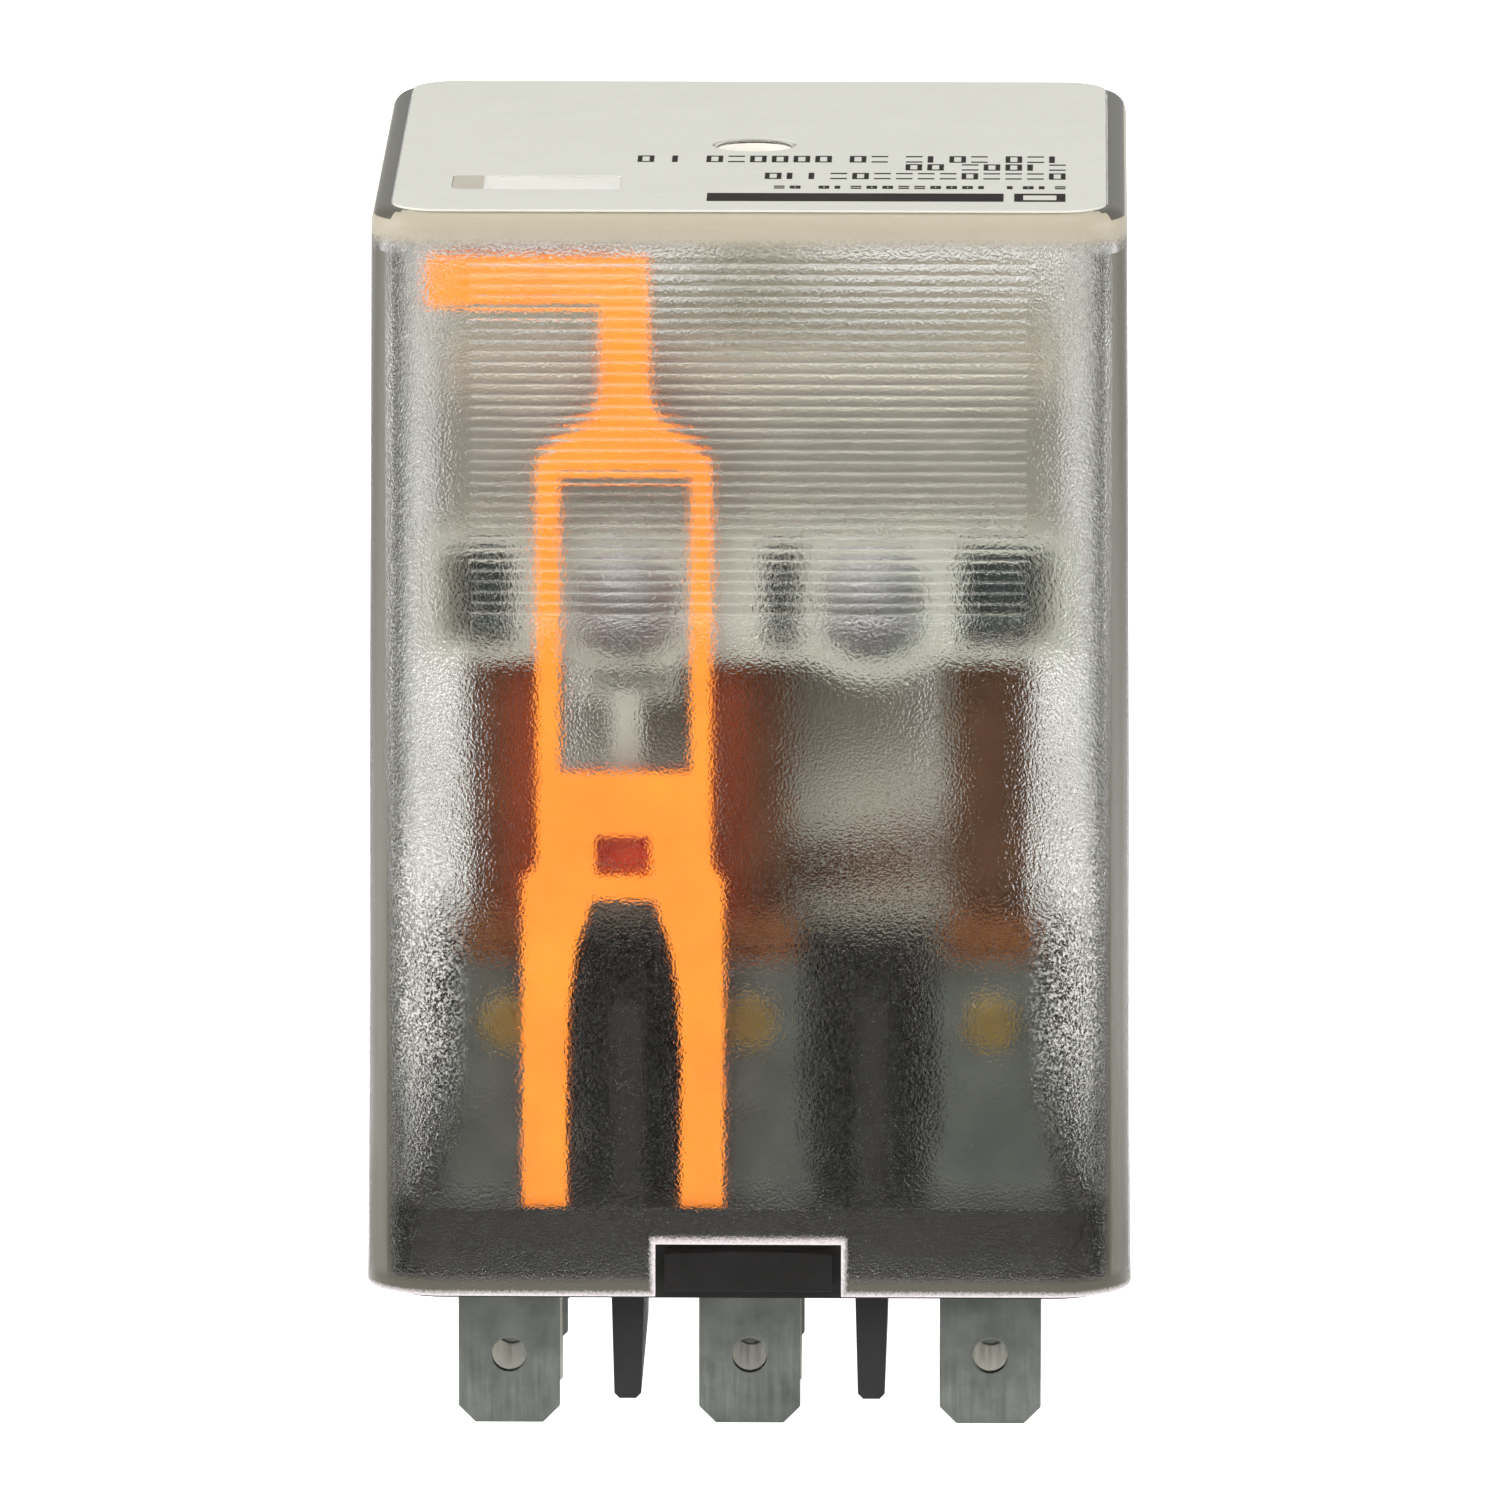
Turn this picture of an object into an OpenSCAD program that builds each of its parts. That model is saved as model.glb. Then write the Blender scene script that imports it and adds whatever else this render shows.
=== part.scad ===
// Plug-in changeover relay with three poles, an AC coil and eleven flat blades.
// Origin: centre of the base's seating face. +X is right, +Y is to the rear, +Z is up. Millimetres.
// The contacts and the flag lever are at the front, the coil behind them, and the armature
// hinges on the rear leg of the yoke.

/* [Cover] */
// Width of the cover at its rim
cover_w = 36.1; // [35.9:0.1:36.4]
// Depth of the cover at its rim
cover_d = 38.6; // [38.4:0.1:39]
// Height of the cover's top above the seating face
cover_top = 52; // [51.8:0.1:53]
// How much narrower the top is than the rim
cover_draft = 0.7; // [0.5:0.1:0.8]
// Thickness of the side walls
cover_wall = 0.95; // [0.8:0.05:0.95]

/* [Blades] */
// Distance between the poles, side to side
pole_pitch = 11.4; // [11.3:0.05:11.45]
// Width of a quick-connect blade
blade_w = 4.8; // [4.6:0.1:4.8]
// Thickness of every terminal
blade_t = 0.5; // [0.5:0.1:0.6]
// How far the blades stand out below the seating face
blade_len = 6.88; // [6:0.01:8]
// Place of the normally closed row, front to back
nc_y = -14.3; // [-14.35:0.05:-14.25]

/* [Mechanism] */
// Angle through which the armature swings
swing = 2.4; // [2:0.1:2.4]
// Thickness of the armature plate
armature_t = 1.5; // [1.3:0.1:1.5]
// How far the lever leans to the rear at rest
lean = 2; // [1.8:0.1:2]
// Outer radius of the coil winding
coil_r = 10; // [9.5:0.1:10]

/* [Hidden] */
$fn = 64;
poles = [1, 2, 3];

touch = 0.02;      // gap between pieces that rest against each other
play = 0.05;       // radial play of a pin in its hole
cut = 1;           // how far a cutting tool runs past a face

// Terminal rows, from the front: normally closed, normally open, common, coil
no_y = nc_y + 5.94;
com_y = nc_y + 15.88;
coil_row_y = nc_y + 23.8;
blade_hole_r = 0.82;
blade_hole_up = 3.3;
blade_chamfer = 0.8;
plate_w = 5.2;
shoulder_w = 6;
shoulder_h = 2;
nc_plate_top = 15.5;
no_plate_top = 14.8;
com_plate_h = 4.6;

// Cover
rim_z = 0.3;
cover_roof = 1.1;
rim_r = 3.6;
top_r = 3;
notch_w = 8.76;
notch_top = 2.82;
bore_r = 1.8;
boss_r = 2.8;
boss_bottom = 48.5;
label_t = 0.12;
label_size = [33.4, 36.8];
label_r = 2.2;
window_x = [-14.05, -6.1];
window_y = [-12.8, -8.9];
window_r = 0.5;

// Base
base_size = [34, 36.4];
base_top = 4.4;
base_r = 2.6;
tab_w = 7.9;
tab_z = [0.53, 2.3];
fin_x = 5.77;
fin_w = [1.56, 1.28];
fin_len = 5.6;
fin_root = 0.5;
fin_chamfer = 0.25;
fin_y = [-15, 2];
rib_t = 1.5;
rib_top = 13.7;
rib_y = [-16, 14];
wall_x = 16.4;
wall_y = [-6.8, -5.3];
wall_top = 15.9;
braid_r = 0.4;
braid_slot = 1.8;
braid_slot_z = 6.4;
stake_y = 10;
stake_r = 0.9;

// Lever, drawn upright with its pivot at height zero
lever_x = -5.94;
lever_pivot = [-17.3, 3.9];
lever_t = 1;
trunnion_r = 0.4;
trunnion_len = 0.5;
foot_x = [-10.65, -8.57, -3.24, -1.17];
lever_top = 45.7;
arm_h = 2.4;
arm_x = [-15.1, -4.75];
ledge = [2.3, 0.7];
opening_x = [-8.88, -2.72];
opening_z = [21.2, 35.2];
hole_z = [16.3, 18.15];
loop_x = [-7.2, -4.65];
loop_z = [16.2, 19.3];
loop_depth = 1.2;
loop_wall = 0.5;

// Armature, carrier and moving springs
hinge = [13.5, 43.2];
armature_w = 29.2;
leg_y = [-11.9, -10.4];
leg_bottom = 29.6;
ear_gap = 6.3;
ear_y = [12, 15];
tail_w = 4.4;
tail_y = [14, 17.4];
spring_y = 16.2;
spring_hole_r = 0.5;
carrier_x = 15.3;
carrier_y = [-14, -11.9];
carrier_z = [30, 36];
carrier_r = 0.6;
carrier_windows = [[-14.4, -11.2], [0.75, 2.45], [9.9, 14.3]];
carrier_window_z = [30.9, 35.1];
lobe_r = 3.95;
rivet_z = 32.7;
rivet_head_r = 2.4;
lug_x = [-8.2, -3.35];
lug_z = 28;
lug_slot_x = [-7.6, -3.7];
lug_slot_z = [28.8, 29.45];
finger_w = 1.5;
finger_tip = [-15.55, 22.6];
finger_tip_r = 0.5;
leaf_w = 3.8;
leaf_t = 0.3;
leaf_y = -12.1;
clip_t = 0.25;
clip_z = [15.6, 17.2];
clip_rear = leaf_y + leaf_t / 2 + 2 * touch + clip_t;
leaf_z = [10.7, 35.3];

// Contacts
contact_z = 12.6;
no_contact_z = 11.8;
nc_face = -13.25;
no_face = -9.4;
contact_gap = 1.33;
contact_r = 1.55;
contact_dome = 8;
rivet_r = 1;
rivet_tail_r = 1.25;
rivet_tail_h = 0.3;

// Magnet
coil_y = 1.5;
core_r = 4;
pole_r = 5.2;
pole_z = 40.7;
yoke_t = 1.8;
yoke_w = 17;
yoke_z = 14.6;
yoke_y = [-4.5, 14.4];
flange_z = [16.45, 17.7, 39.2, 40.5];
flange_x = 12.8;
flange_y = [-9, 12.4];
coil_terminal_top = 19.5;
lug_hook_z = [34.4, 35.2];
lug_hook_half = 1.8;
post_w = 2;
post_z = 40;
post_rise = 0.6;
tape_z = [20, 38.6];

function pole_x(i) = (i - 2) * pole_pitch;

// ---------- shared shapes ----------

module rounded_rect(size, r) {
    square([size.x - 2 * r, size.y], center = true);
    square([size.x, size.y - 2 * r], center = true);
    for (sx = [-1, 1], sy = [-1, 1])
        translate([sx * (size.x / 2 - r), sy * (size.y / 2 - r)]) circle(r);
}

// Stands a flat outline (x, z) upright, t thick, with its mid-plane at y
module upright(y, t) {
    translate([0, y + t / 2, 0]) rotate([90, 0, 0]) linear_extrude(t) children();
}

// A round bar along y, from y[0] to y[1]
module bar_y(y, r) {
    translate([0, y[0], 0]) rotate([-90, 0, 0]) cylinder(h = y[1] - y[0], r = r);
}

// A block between two corners
module block(low, high) {
    translate(low) cube(high - low);
}

// Draft shell: eight corner posts, joined
module cover_form(size, r_low, r_high, low, high) {
    thin = 0.01;
    hull()
        for (sx = [-1, 1], sy = [-1, 1]) {
            translate([sx * (size.x / 2 - r_low), sy * (size.y / 2 - r_low), low])
                cylinder(h = thin, r = r_low, $fn = 48);
            translate([
                sx * (size.x / 2 - cover_draft / 2 - r_high),
                sy * (size.y / 2 - cover_draft / 2 - r_high),
                high - thin
            ])
                cylinder(h = thin, r = r_high, $fn = 48);
        }
}

// A round wire between two points
module wire(from, to, r) {
    d = to - from;
    flat = norm([d.x, d.y]);
    translate(from)
        rotate([0, atan2(flat, d.z), atan2(d.y, d.x)])
            cylinder(h = norm(d), r = r, $fn = 24);
}

// ---------- casing ----------

module cover() {
    color([0.86, 0.87, 0.84, 0.4])
        difference() {
            union() {
                difference() {
                    cover_form([cover_w, cover_d], rim_r, top_r, rim_z, cover_top);
                    cover_form(
                        [cover_w - 2 * cover_wall, cover_d - 2 * cover_wall],
                        rim_r - cover_wall, top_r - cover_wall, rim_z - 0.01, cover_top - cover_roof
                    );
                }
                translate([0, 0, boss_bottom]) cylinder(h = cover_top - boss_bottom - 0.2, r = boss_r);
            }
            translate([0, 0, boss_bottom - cut]) cylinder(h = cover_top, r = bore_r);
            block([-notch_w / 2, -cover_d, rim_z - cut], [notch_w / 2, cover_d, notch_top]);
        }
}

module top_label() {
    color([0.85, 0.86, 0.82])
        translate([0, 0, cover_top])
            linear_extrude(label_t)
                difference() {
                    rounded_rect(label_size, label_r);
                    circle(bore_r + 0.2);
                    translate([(window_x[0] + window_x[1]) / 2, (window_y[0] + window_y[1]) / 2])
                        rounded_rect([window_x[1] - window_x[0], window_y[1] - window_y[0]], window_r);
                }
}

// Arched latch tab that fills the notch in the cover's rim, front and rear
module latch_tab() {
    arch_r = 60;
    arch_rise = 0.13;
    upright(-(base_size.y + cover_wall) / 2, cover_wall)
        intersection() {
            translate([-tab_w / 2, tab_z[0]]) square([tab_w, tab_z[1]]);
            translate([0, tab_z[1] + arch_rise - arch_r]) circle(arch_r, $fn = 200);
        }
}

// Tapered fin under the base, which keys the relay into its socket
module key_fin(x) {
    translate([x, fin_y[1], 0])
        rotate([90, 0, 0])
            linear_extrude(fin_y[1] - fin_y[0])
                polygon([
                    [-fin_w[0] / 2, fin_root], [-fin_w[0] / 2, 0],
                    [-fin_w[1] / 2, fin_chamfer - fin_len], [fin_chamfer - fin_w[1] / 2, -fin_len],
                    [fin_w[1] / 2 - fin_chamfer, -fin_len], [fin_w[1] / 2, fin_chamfer - fin_len],
                    [fin_w[0] / 2, 0], [fin_w[0] / 2, fin_root]
                ]);
}

module blade_slot(x, y) {
    translate([x, y, base_top / 2])
        cube([blade_w + 2 * touch, blade_t + 2 * touch, base_top + 2], center = true);
}

module base() {
    foot_gap = 0.1;
    pocket_half = 0.65;
    pocket_floor = 3.3;
    color([0.12, 0.12, 0.115])
        difference() {
            union() {
                linear_extrude(base_top) rounded_rect(base_size, base_r);
                for (turn = [0, 180]) rotate([0, 0, turn]) latch_tab();
                for (side = [-1, 1]) {
                    key_fin(side * fin_x);
                    rib = side * fin_x;
                    block([rib - rib_t / 2, rib_y[0], 0], [rib + rib_t / 2, wall_y[1], rib_top]);
                    block([rib - rib_t / 2, wall_y[1], 0], [rib + rib_t / 2, rib_y[1], yoke_z - touch]);
                    translate([rib, stake_y, 0]) cylinder(h = yoke_z + yoke_t - 0.1, r = stake_r);
                }
                block([-wall_x, wall_y[0], 0], [wall_x, wall_y[1], wall_top]);
            }
            for (i = poles) {
                for (y = [nc_y, no_y, com_y]) blade_slot(pole_x(i), y);
                block(
                    [pole_x(i) - braid_slot / 2, wall_y[0] - cut, braid_slot_z],
                    [pole_x(i) + braid_slot / 2, wall_y[1] + cut, wall_top + cut]
                );
            }
            for (side = [-1, 1]) blade_slot(side * pole_pitch, coil_row_y);
            for (foot = [0, 2]) {
                block(
                    [foot_x[foot] - foot_gap, lever_pivot[0] - pocket_half, pocket_floor],
                    [foot_x[foot + 1] + foot_gap, lever_pivot[0] + pocket_half, base_top + cut]
                );
                translate([foot_x[foot] - trunnion_len - foot_gap, lever_pivot[0], lever_pivot[1]])
                    rotate([0, 90, 0])
                        cylinder(
                            h = foot_x[foot + 1] - foot_x[foot] + 2 * (trunnion_len + foot_gap),
                            r = trunnion_r + play
                        );
            }
        }
}

// ---------- terminals ----------

// Flat blade with chamfered tip and hole, up to the height of the base's top
module blade_outline(top) {
    difference() {
        polygon([
            [-blade_w / 2, top], [-blade_w / 2, blade_chamfer - blade_len],
            [blade_chamfer - blade_w / 2, -blade_len], [blade_w / 2 - blade_chamfer, -blade_len],
            [blade_w / 2, blade_chamfer - blade_len], [blade_w / 2, top]
        ]);
        translate([0, blade_hole_up - blade_len]) circle(blade_hole_r);
    }
}

// Contact plate above the base, with a round hole for its rivet
module plate_outline(top, hole_z) {
    r = 0.6;
    difference() {
        union() {
            translate([-shoulder_w / 2, base_top + touch]) square([shoulder_w, shoulder_h]);
            translate([-plate_w / 2, base_top + touch]) square([plate_w, top - base_top - touch - r]);
            translate([r - plate_w / 2, top - 2 * r]) square([plate_w - 2 * r, 2 * r]);
            for (side = [-1, 1]) translate([side * (plate_w / 2 - r), top - r]) circle(r);
        }
        translate([0, hole_z]) circle(rivet_r);
    }
}

module contact_terminal(i, y, top, hole_z) {
    color([0.55, 0.56, 0.53])
        translate([pole_x(i), 0, 0])
            upright(y, blade_t) {
                blade_outline(base_top + 2 * touch);
                plate_outline(top, hole_z);
            }
}

module nc_terminal(i) contact_terminal(i, nc_y, nc_plate_top, contact_z);

module no_terminal(i) contact_terminal(i, no_y, no_plate_top, no_contact_z);

module com_terminal(i) {
    color([0.55, 0.56, 0.53])
        translate([pole_x(i), 0, 0])
            upright(com_y, blade_t) {
                blade_outline(base_top + 2 * touch);
                translate([-blade_w / 2, base_top + touch]) square([blade_w, com_plate_h]);
            }
}

module coil_terminal(side) {
    stem_w = blade_w - 0.4;
    color([0.55, 0.56, 0.53])
        translate([side * pole_pitch, 0, 0])
            upright(coil_row_y, blade_t) {
                blade_outline(base_top + 2 * touch);
                translate([-stem_w / 2, base_top]) square([stem_w, coil_terminal_top - base_top]);
            }
}

// ---------- contacts ----------

module nc_contact(i) {
    back = nc_y + blade_t / 2;
    color([0.72, 0.6, 0.35])
        translate([pole_x(i), 0, contact_z]) {
            bar_y([back, nc_face], contact_r);
            bar_y([back - blade_t, back], rivet_r);
            bar_y([back - blade_t - rivet_tail_h, back - blade_t], rivet_tail_r);
        }
}

module no_contact(i) {
    front = no_y - blade_t / 2;
    color([0.72, 0.6, 0.35])
        translate([pole_x(i), 0, no_contact_z]) {
            bar_y([no_face, front], contact_r);
            bar_y([front, front + blade_t], rivet_r);
            bar_y([front + blade_t, front + blade_t + rivet_tail_h], rivet_tail_r);
        }
}

// Double-headed rivet, domed on both faces, through the end of the moving leaf spring
module moving_contact(i) {
    front = nc_face + touch;
    rear = no_face - contact_gap;
    color([0.72, 0.6, 0.35])
        translate([pole_x(i), 0, contact_z]) {
            bar_y([leaf_y - leaf_t / 2, leaf_y + leaf_t / 2], rivet_r);
            intersection() {
                bar_y([front - cut, leaf_y - leaf_t / 2], contact_r);
                translate([0, front + contact_dome, 0]) sphere(contact_dome, $fn = 200);
            }
            intersection() {
                bar_y([leaf_y + leaf_t / 2, rear + cut], contact_r);
                translate([0, rear - contact_dome, 0]) sphere(contact_dome, $fn = 200);
            }
        }
}

module moving_spring(i) {
    color([0.45, 0.34, 0.26])
        translate([pole_x(i), 0, 0])
            upright(leaf_y, leaf_t)
                difference() {
                    union() {
                        translate([-leaf_w / 2, contact_z]) square([leaf_w, leaf_z[1] - contact_z]);
                        translate([0, contact_z]) circle(leaf_w / 2);
                    }
                    translate([0, contact_z]) circle(rivet_r);
                }
}

// Copper band pressed round a moving spring, which holds the end of its braid
module braid_clip(i) {
    color([0.75, 0.42, 0.25])
        translate([pole_x(i), leaf_y, clip_z[0]])
            linear_extrude(clip_z[1] - clip_z[0])
                difference() {
                    square([leaf_w + 2 * (touch + clip_t), leaf_t + 2 * (touch + clip_t)], center = true);
                    square([leaf_w + 2 * touch, leaf_t + 2 * touch], center = true);
                }
}

// Route of a braid: a slack loop behind the clip, over the normally open plate,
// down in the slot of the base's wall, and back to the common terminal
function braid_route(x) = [
    [x, clip_rear, 16.4], [x, -11.35, 16.4], [x, -11.05, 16.6], [x, -10.85, 17], [x, -10.7, 17.5],
    [x, -10.4, 17.85], [x, -10, 17.85], [x, -9.7, 17.5], [x, -9.6, 17], [x, -9.55, 16.4],
    [x, -9.3, 15.8], [x, -8.8, 15.5], [x, -8.1, 15.4], [x, -7.4, 15.4], [x, -6.7, 15.2],
    [x, -6.25, 14.7], [x, -6.05, 14], [x, -5.95, 12], [x, -5.6, 10], [x, -4.6, 8.4],
    [x, -3, 7.5], [x, -1, 7.1], [x, 0.2, 7], [x, com_y - blade_t / 2 - touch, 7]
];

// Sweep of a round section along a route, as one closed solid
module sweep(route, r, sides = 8) {
    last = len(route) - 1;
    function direction(k) =
        let (d = route[min(k + 1, last)] - route[max(k - 1, 0)]) d / norm(d);
    rings = [
        for (k = [0:last])
            let (
                d = direction(k),
                side = cross(d, [1, 0, 0.2]) / norm(cross(d, [1, 0, 0.2])),
                up = cross(d, side)
            )
                for (a = [0:sides - 1])
                    route[k] + r * (cos(a * 360 / sides) * side + sin(a * 360 / sides) * up)
    ];
    quads = [
        for (k = [0:last - 1], a = [0:sides - 1])
            let (b = (a + 1) % sides)
                [k * sides + a, k * sides + b, (k + 1) * sides + b, (k + 1) * sides + a]
    ];
    polyhedron(
        rings,
        concat(
            [[for (a = [sides - 1:-1:0]) a]],
            quads,
            [[for (a = [0:sides - 1]) last * sides + a]]
        )
    );
}

module pigtail_braid(i) {
    color([0.72, 0.45, 0.3]) sweep(braid_route(pole_x(i)), braid_r);
}

// ---------- armature and what rides on it ----------

module armature() {
    notch_y = 12.3;
    color([0.62, 0.63, 0.62]) {
        difference() {
            union() {
                block([-armature_w / 2, leg_y[0], hinge[1]], [armature_w / 2, notch_y, hinge[1] + armature_t]);
                block([-ear_gap, ear_y[0], hinge[1]], [ear_gap, ear_y[1], hinge[1] + armature_t]);
                block([-tail_w / 2, tail_y[0], hinge[1]], [tail_w / 2, tail_y[1], hinge[1] + armature_t]);
                block([-armature_w / 2, leg_y[0], leg_bottom], [armature_w / 2, leg_y[1], hinge[1] + 0.5]);
            }
            translate([0, spring_y, hinge[1] - cut]) cylinder(h = 4, r = spring_hole_r);
            for (side = [-1, 1])
                translate([side * fin_x, 0, rivet_z]) bar_y([leg_y[0] - cut, leg_y[1] + cut], rivet_r);
        }
    }
}

// Outline of the moulded carrier, with its two rivet lobes, windows and slotted lug
module carrier_outline() {
    difference() {
        union() {
            translate([0, (carrier_z[0] + carrier_z[1]) / 2])
                rounded_rect([2 * carrier_x, carrier_z[1] - carrier_z[0]], carrier_r);
            for (side = [-1, 1])
                intersection() {
                    translate([side * fin_x, rivet_z]) circle(lobe_r);
                    translate([-carrier_x, lug_z]) square([2 * carrier_x, carrier_z[1] - lug_z]);
                }
            translate([lug_x[0], lug_z]) square([lug_x[1] - lug_x[0], carrier_z[1] - lug_z - cut]);
        }
        for (gap = carrier_windows)
            translate([gap[0], carrier_window_z[0]])
                square([gap[1] - gap[0], carrier_window_z[1] - carrier_window_z[0]]);
        translate([lug_slot_x[0], lug_slot_z[0]])
            square([lug_slot_x[1] - lug_slot_x[0], lug_slot_z[1] - lug_slot_z[0]]);
        for (side = [-1, 1]) translate([side * fin_x, rivet_z]) circle(rivet_r);
    }
}

module contact_carrier() {
    t = carrier_y[1] - carrier_y[0];
    slot_top = leaf_z[1] + 0.1;
    finger_y = [finger_tip[0] - 0.1, finger_tip[0] + finger_tip_r];
    finger_top = lug_z + 0.8;
    color([0.86, 0.87, 0.84]) {
        difference() {
            upright(carrier_y[0] + t / 2, t) carrier_outline();
            for (i = poles)
                block(
                    [pole_x(i) - leaf_w / 2, leaf_y - leaf_t / 2, lug_z - cut],
                    [pole_x(i) + leaf_w / 2, carrier_y[1] + cut, slot_top]
                );
        }
        // Finger that reaches down and forward into the loop of the lever
        block(
            [-fin_x - finger_w / 2, finger_y[0], finger_tip[1]],
            [-fin_x + finger_w / 2, finger_y[1], finger_top]
        );
        block(
            [-fin_x - finger_w / 2, finger_y[0], lug_z],
            [-fin_x + finger_w / 2, carrier_y[0] + 0.2, finger_top]
        );
        translate([-fin_x - finger_w / 2, finger_tip[0], finger_tip[1]])
            rotate([0, 90, 0]) cylinder(h = finger_w, r = finger_tip_r);
    }
}

module carrier_rivets() {
    dome = 6;
    head_h = 0.6;
    tail_r = 1.7;
    tail_h = 0.5;
    color([0.6, 0.6, 0.6])
        for (side = [-1, 1])
            translate([side * fin_x, 0, rivet_z]) {
                intersection() {
                    bar_y([carrier_y[0] - head_h, carrier_y[0]], rivet_head_r);
                    translate([0, carrier_y[0] - head_h + dome, 0]) sphere(dome, $fn = 200);
                }
                bar_y([carrier_y[0], leg_y[1]], rivet_r);
                bar_y([leg_y[1], leg_y[1] + tail_h], tail_r);
            }
}

// ---------- flag lever and test plunger ----------

module lever_outline() {
    polygon([
        [foot_x[0], 0], [foot_x[0], 16], [-9.96, 16.8], [-9.96, 36], [-8.87, 36.95], [-7.45, 38],
        [-6.99, 38.9], [-6.99, lever_top - arm_h], [arm_x[0], lever_top - arm_h],
        [arm_x[0], lever_top], [arm_x[1], lever_top], [-4.64, 38.9], [-4.2, 38], [-2.77, 36.95],
        [-1.75, 36], [-1.75, 16.8], [foot_x[3], 16], [foot_x[3], 0], [foot_x[2], 0], [-3.15, 7],
        [-3.3, 10.5], [-3.7, 12.9], [-4.45, 15.1], [-7.35, 15.1], [-8.1, 12.9], [-8.45, 10.5],
        [-8.57, 7], [foot_x[1], 0]
    ]);
}

module flag_lever() {
    rear = lever_t / 2;
    color([1, 0.62, 0.14])
        translate([0, lever_pivot[0], lever_pivot[1]])
            rotate([-lean, 0, 0]) {
                upright(0, lever_t)
                    difference() {
                        lever_outline();
                        translate([opening_x[0], opening_z[0]])
                            square([opening_x[1] - opening_x[0], opening_z[1] - opening_z[0]]);
                        translate([loop_x[0], hole_z[0]])
                            square([loop_x[1] - loop_x[0], hole_z[1] - hole_z[0]]);
                    }
                // Loop on the lever's back, which holds the carrier's finger
                difference() {
                    block(
                        [loop_x[0] - loop_wall, rear - 0.2, loop_z[0]],
                        [loop_x[1] + loop_wall, rear + loop_depth + loop_wall, loop_z[1]]
                    );
                    block(
                        [loop_x[0], rear - cut, loop_z[0] - cut],
                        [loop_x[1], rear + loop_depth, loop_z[1] + cut]
                    );
                }
                // Flag: a ledge that moves under the window in the label
                block(
                    [window_x[0], rear - 0.2, lever_top - ledge[1]],
                    [window_x[1], rear + ledge[0], lever_top]
                );
                for (foot = [0, 2]) {
                    translate([foot_x[foot], 0, 0])
                        rotate([0, 90, 0]) cylinder(h = foot_x[foot + 1] - foot_x[foot], r = lever_t / 2);
                    translate([foot_x[foot] - trunnion_len, 0, 0])
                        rotate([0, 90, 0])
                            cylinder(
                                h = foot_x[foot + 1] - foot_x[foot] + 2 * trunnion_len,
                                r = trunnion_r
                            );
                }
            }
}

module test_plunger() {
    stem_r = bore_r - 0.15;
    bottom = hinge[1] + armature_t + touch;
    top = cover_top - 0.6;
    collar_z = [47.4, 48.3];
    collar_r = 2.5;
    color([0.88, 0.86, 0.8]) {
        translate([0, 0, bottom + stem_r]) cylinder(h = top - bottom - stem_r, r = stem_r);
        translate([0, 0, bottom + stem_r]) sphere(stem_r);
        translate([0, 0, collar_z[0]]) cylinder(h = collar_z[1] - collar_z[0], r = collar_r);
    }
}

// ---------- magnet ----------

module yoke() {
    top = hinge[1] - touch;
    x = yoke_w / 2;
    rear = yoke_y[1];
    color([0.6, 0.6, 0.58])
        difference() {
            union() {
                block([-x, yoke_y[0], yoke_z], [x, rear, yoke_z + yoke_t]);
                // Rear leg, with the knife edge that the armature rocks on
                translate([-x, 0, 0])
                    rotate([90, 0, 90])
                        linear_extrude(yoke_w)
                            polygon([
                                [rear - yoke_t, yoke_z], [rear, yoke_z], [rear, top - 0.05],
                                [hinge[0], top], [rear - yoke_t, top - 0.12]
                            ]);
                for (side = [-1, 1])
                    block(
                        [side * (x - post_w / 2) - post_w / 2, rear - yoke_t, post_z],
                        [side * (x - post_w / 2) + post_w / 2, rear, hinge[1] + armature_t + post_rise]
                    );
                block(
                    [-lug_hook_half, rear - 0.2, lug_hook_z[0]],
                    [lug_hook_half, spring_y + 1.2, lug_hook_z[1]]
                );
            }
            translate([0, coil_y, yoke_z - cut]) cylinder(h = 2 * yoke_t + cut, r = core_r - 1);
            translate([0, spring_y, lug_hook_z[0] - cut]) cylinder(h = 3, r = spring_hole_r);
            for (side = [-1, 1])
                translate([side * fin_x, stake_y, yoke_z - cut]) cylinder(h = 4, r = stake_r + touch);
        }
}

// Outline of the shading ring, or of its groove when wider
module ring_outline(grow = 0) {
    difference() {
        intersection() {
            circle(4.1 + grow);
            translate([-5, -5]) square([10, 4.4 + grow]);
        }
        intersection() {
            circle(3 - grow);
            translate([-5, -5]) square([10, 3.3 - grow]);
        }
    }
}

module core() {
    color([0.66, 0.66, 0.66])
        difference() {
            translate([0, coil_y, 0]) {
                translate([0, 0, yoke_z - 0.3]) cylinder(h = yoke_t + 0.4, r = core_r - 1);
                translate([0, 0, yoke_z + yoke_t]) cylinder(h = pole_z - yoke_z - yoke_t, r = core_r);
                translate([0, 0, pole_z]) cylinder(h = hinge[1] - pole_z + 1, r = pole_r);
            }
            // Pole face, sloped so that the closed armature lies flat over it
            translate([0, hinge[0], hinge[1] - 0.04])
                rotate([swing, 0, 0])
                    translate([-20, -40, 0]) cube([40, 60, 10]);
            translate([0, coil_y, pole_z + 0.5]) linear_extrude(5) ring_outline(touch);
        }
}

module shading_ring() {
    color([0.78, 0.45, 0.28])
        translate([0, coil_y, pole_z + 0.5 + touch]) linear_extrude(0.9) ring_outline();
}

module flange(z) {
    translate([0, (flange_y[0] + flange_y[1]) / 2, z[0]])
        linear_extrude(z[1] - z[0])
            rounded_rect([2 * flange_x, flange_y[1] - flange_y[0]], 1.5);
}

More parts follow.
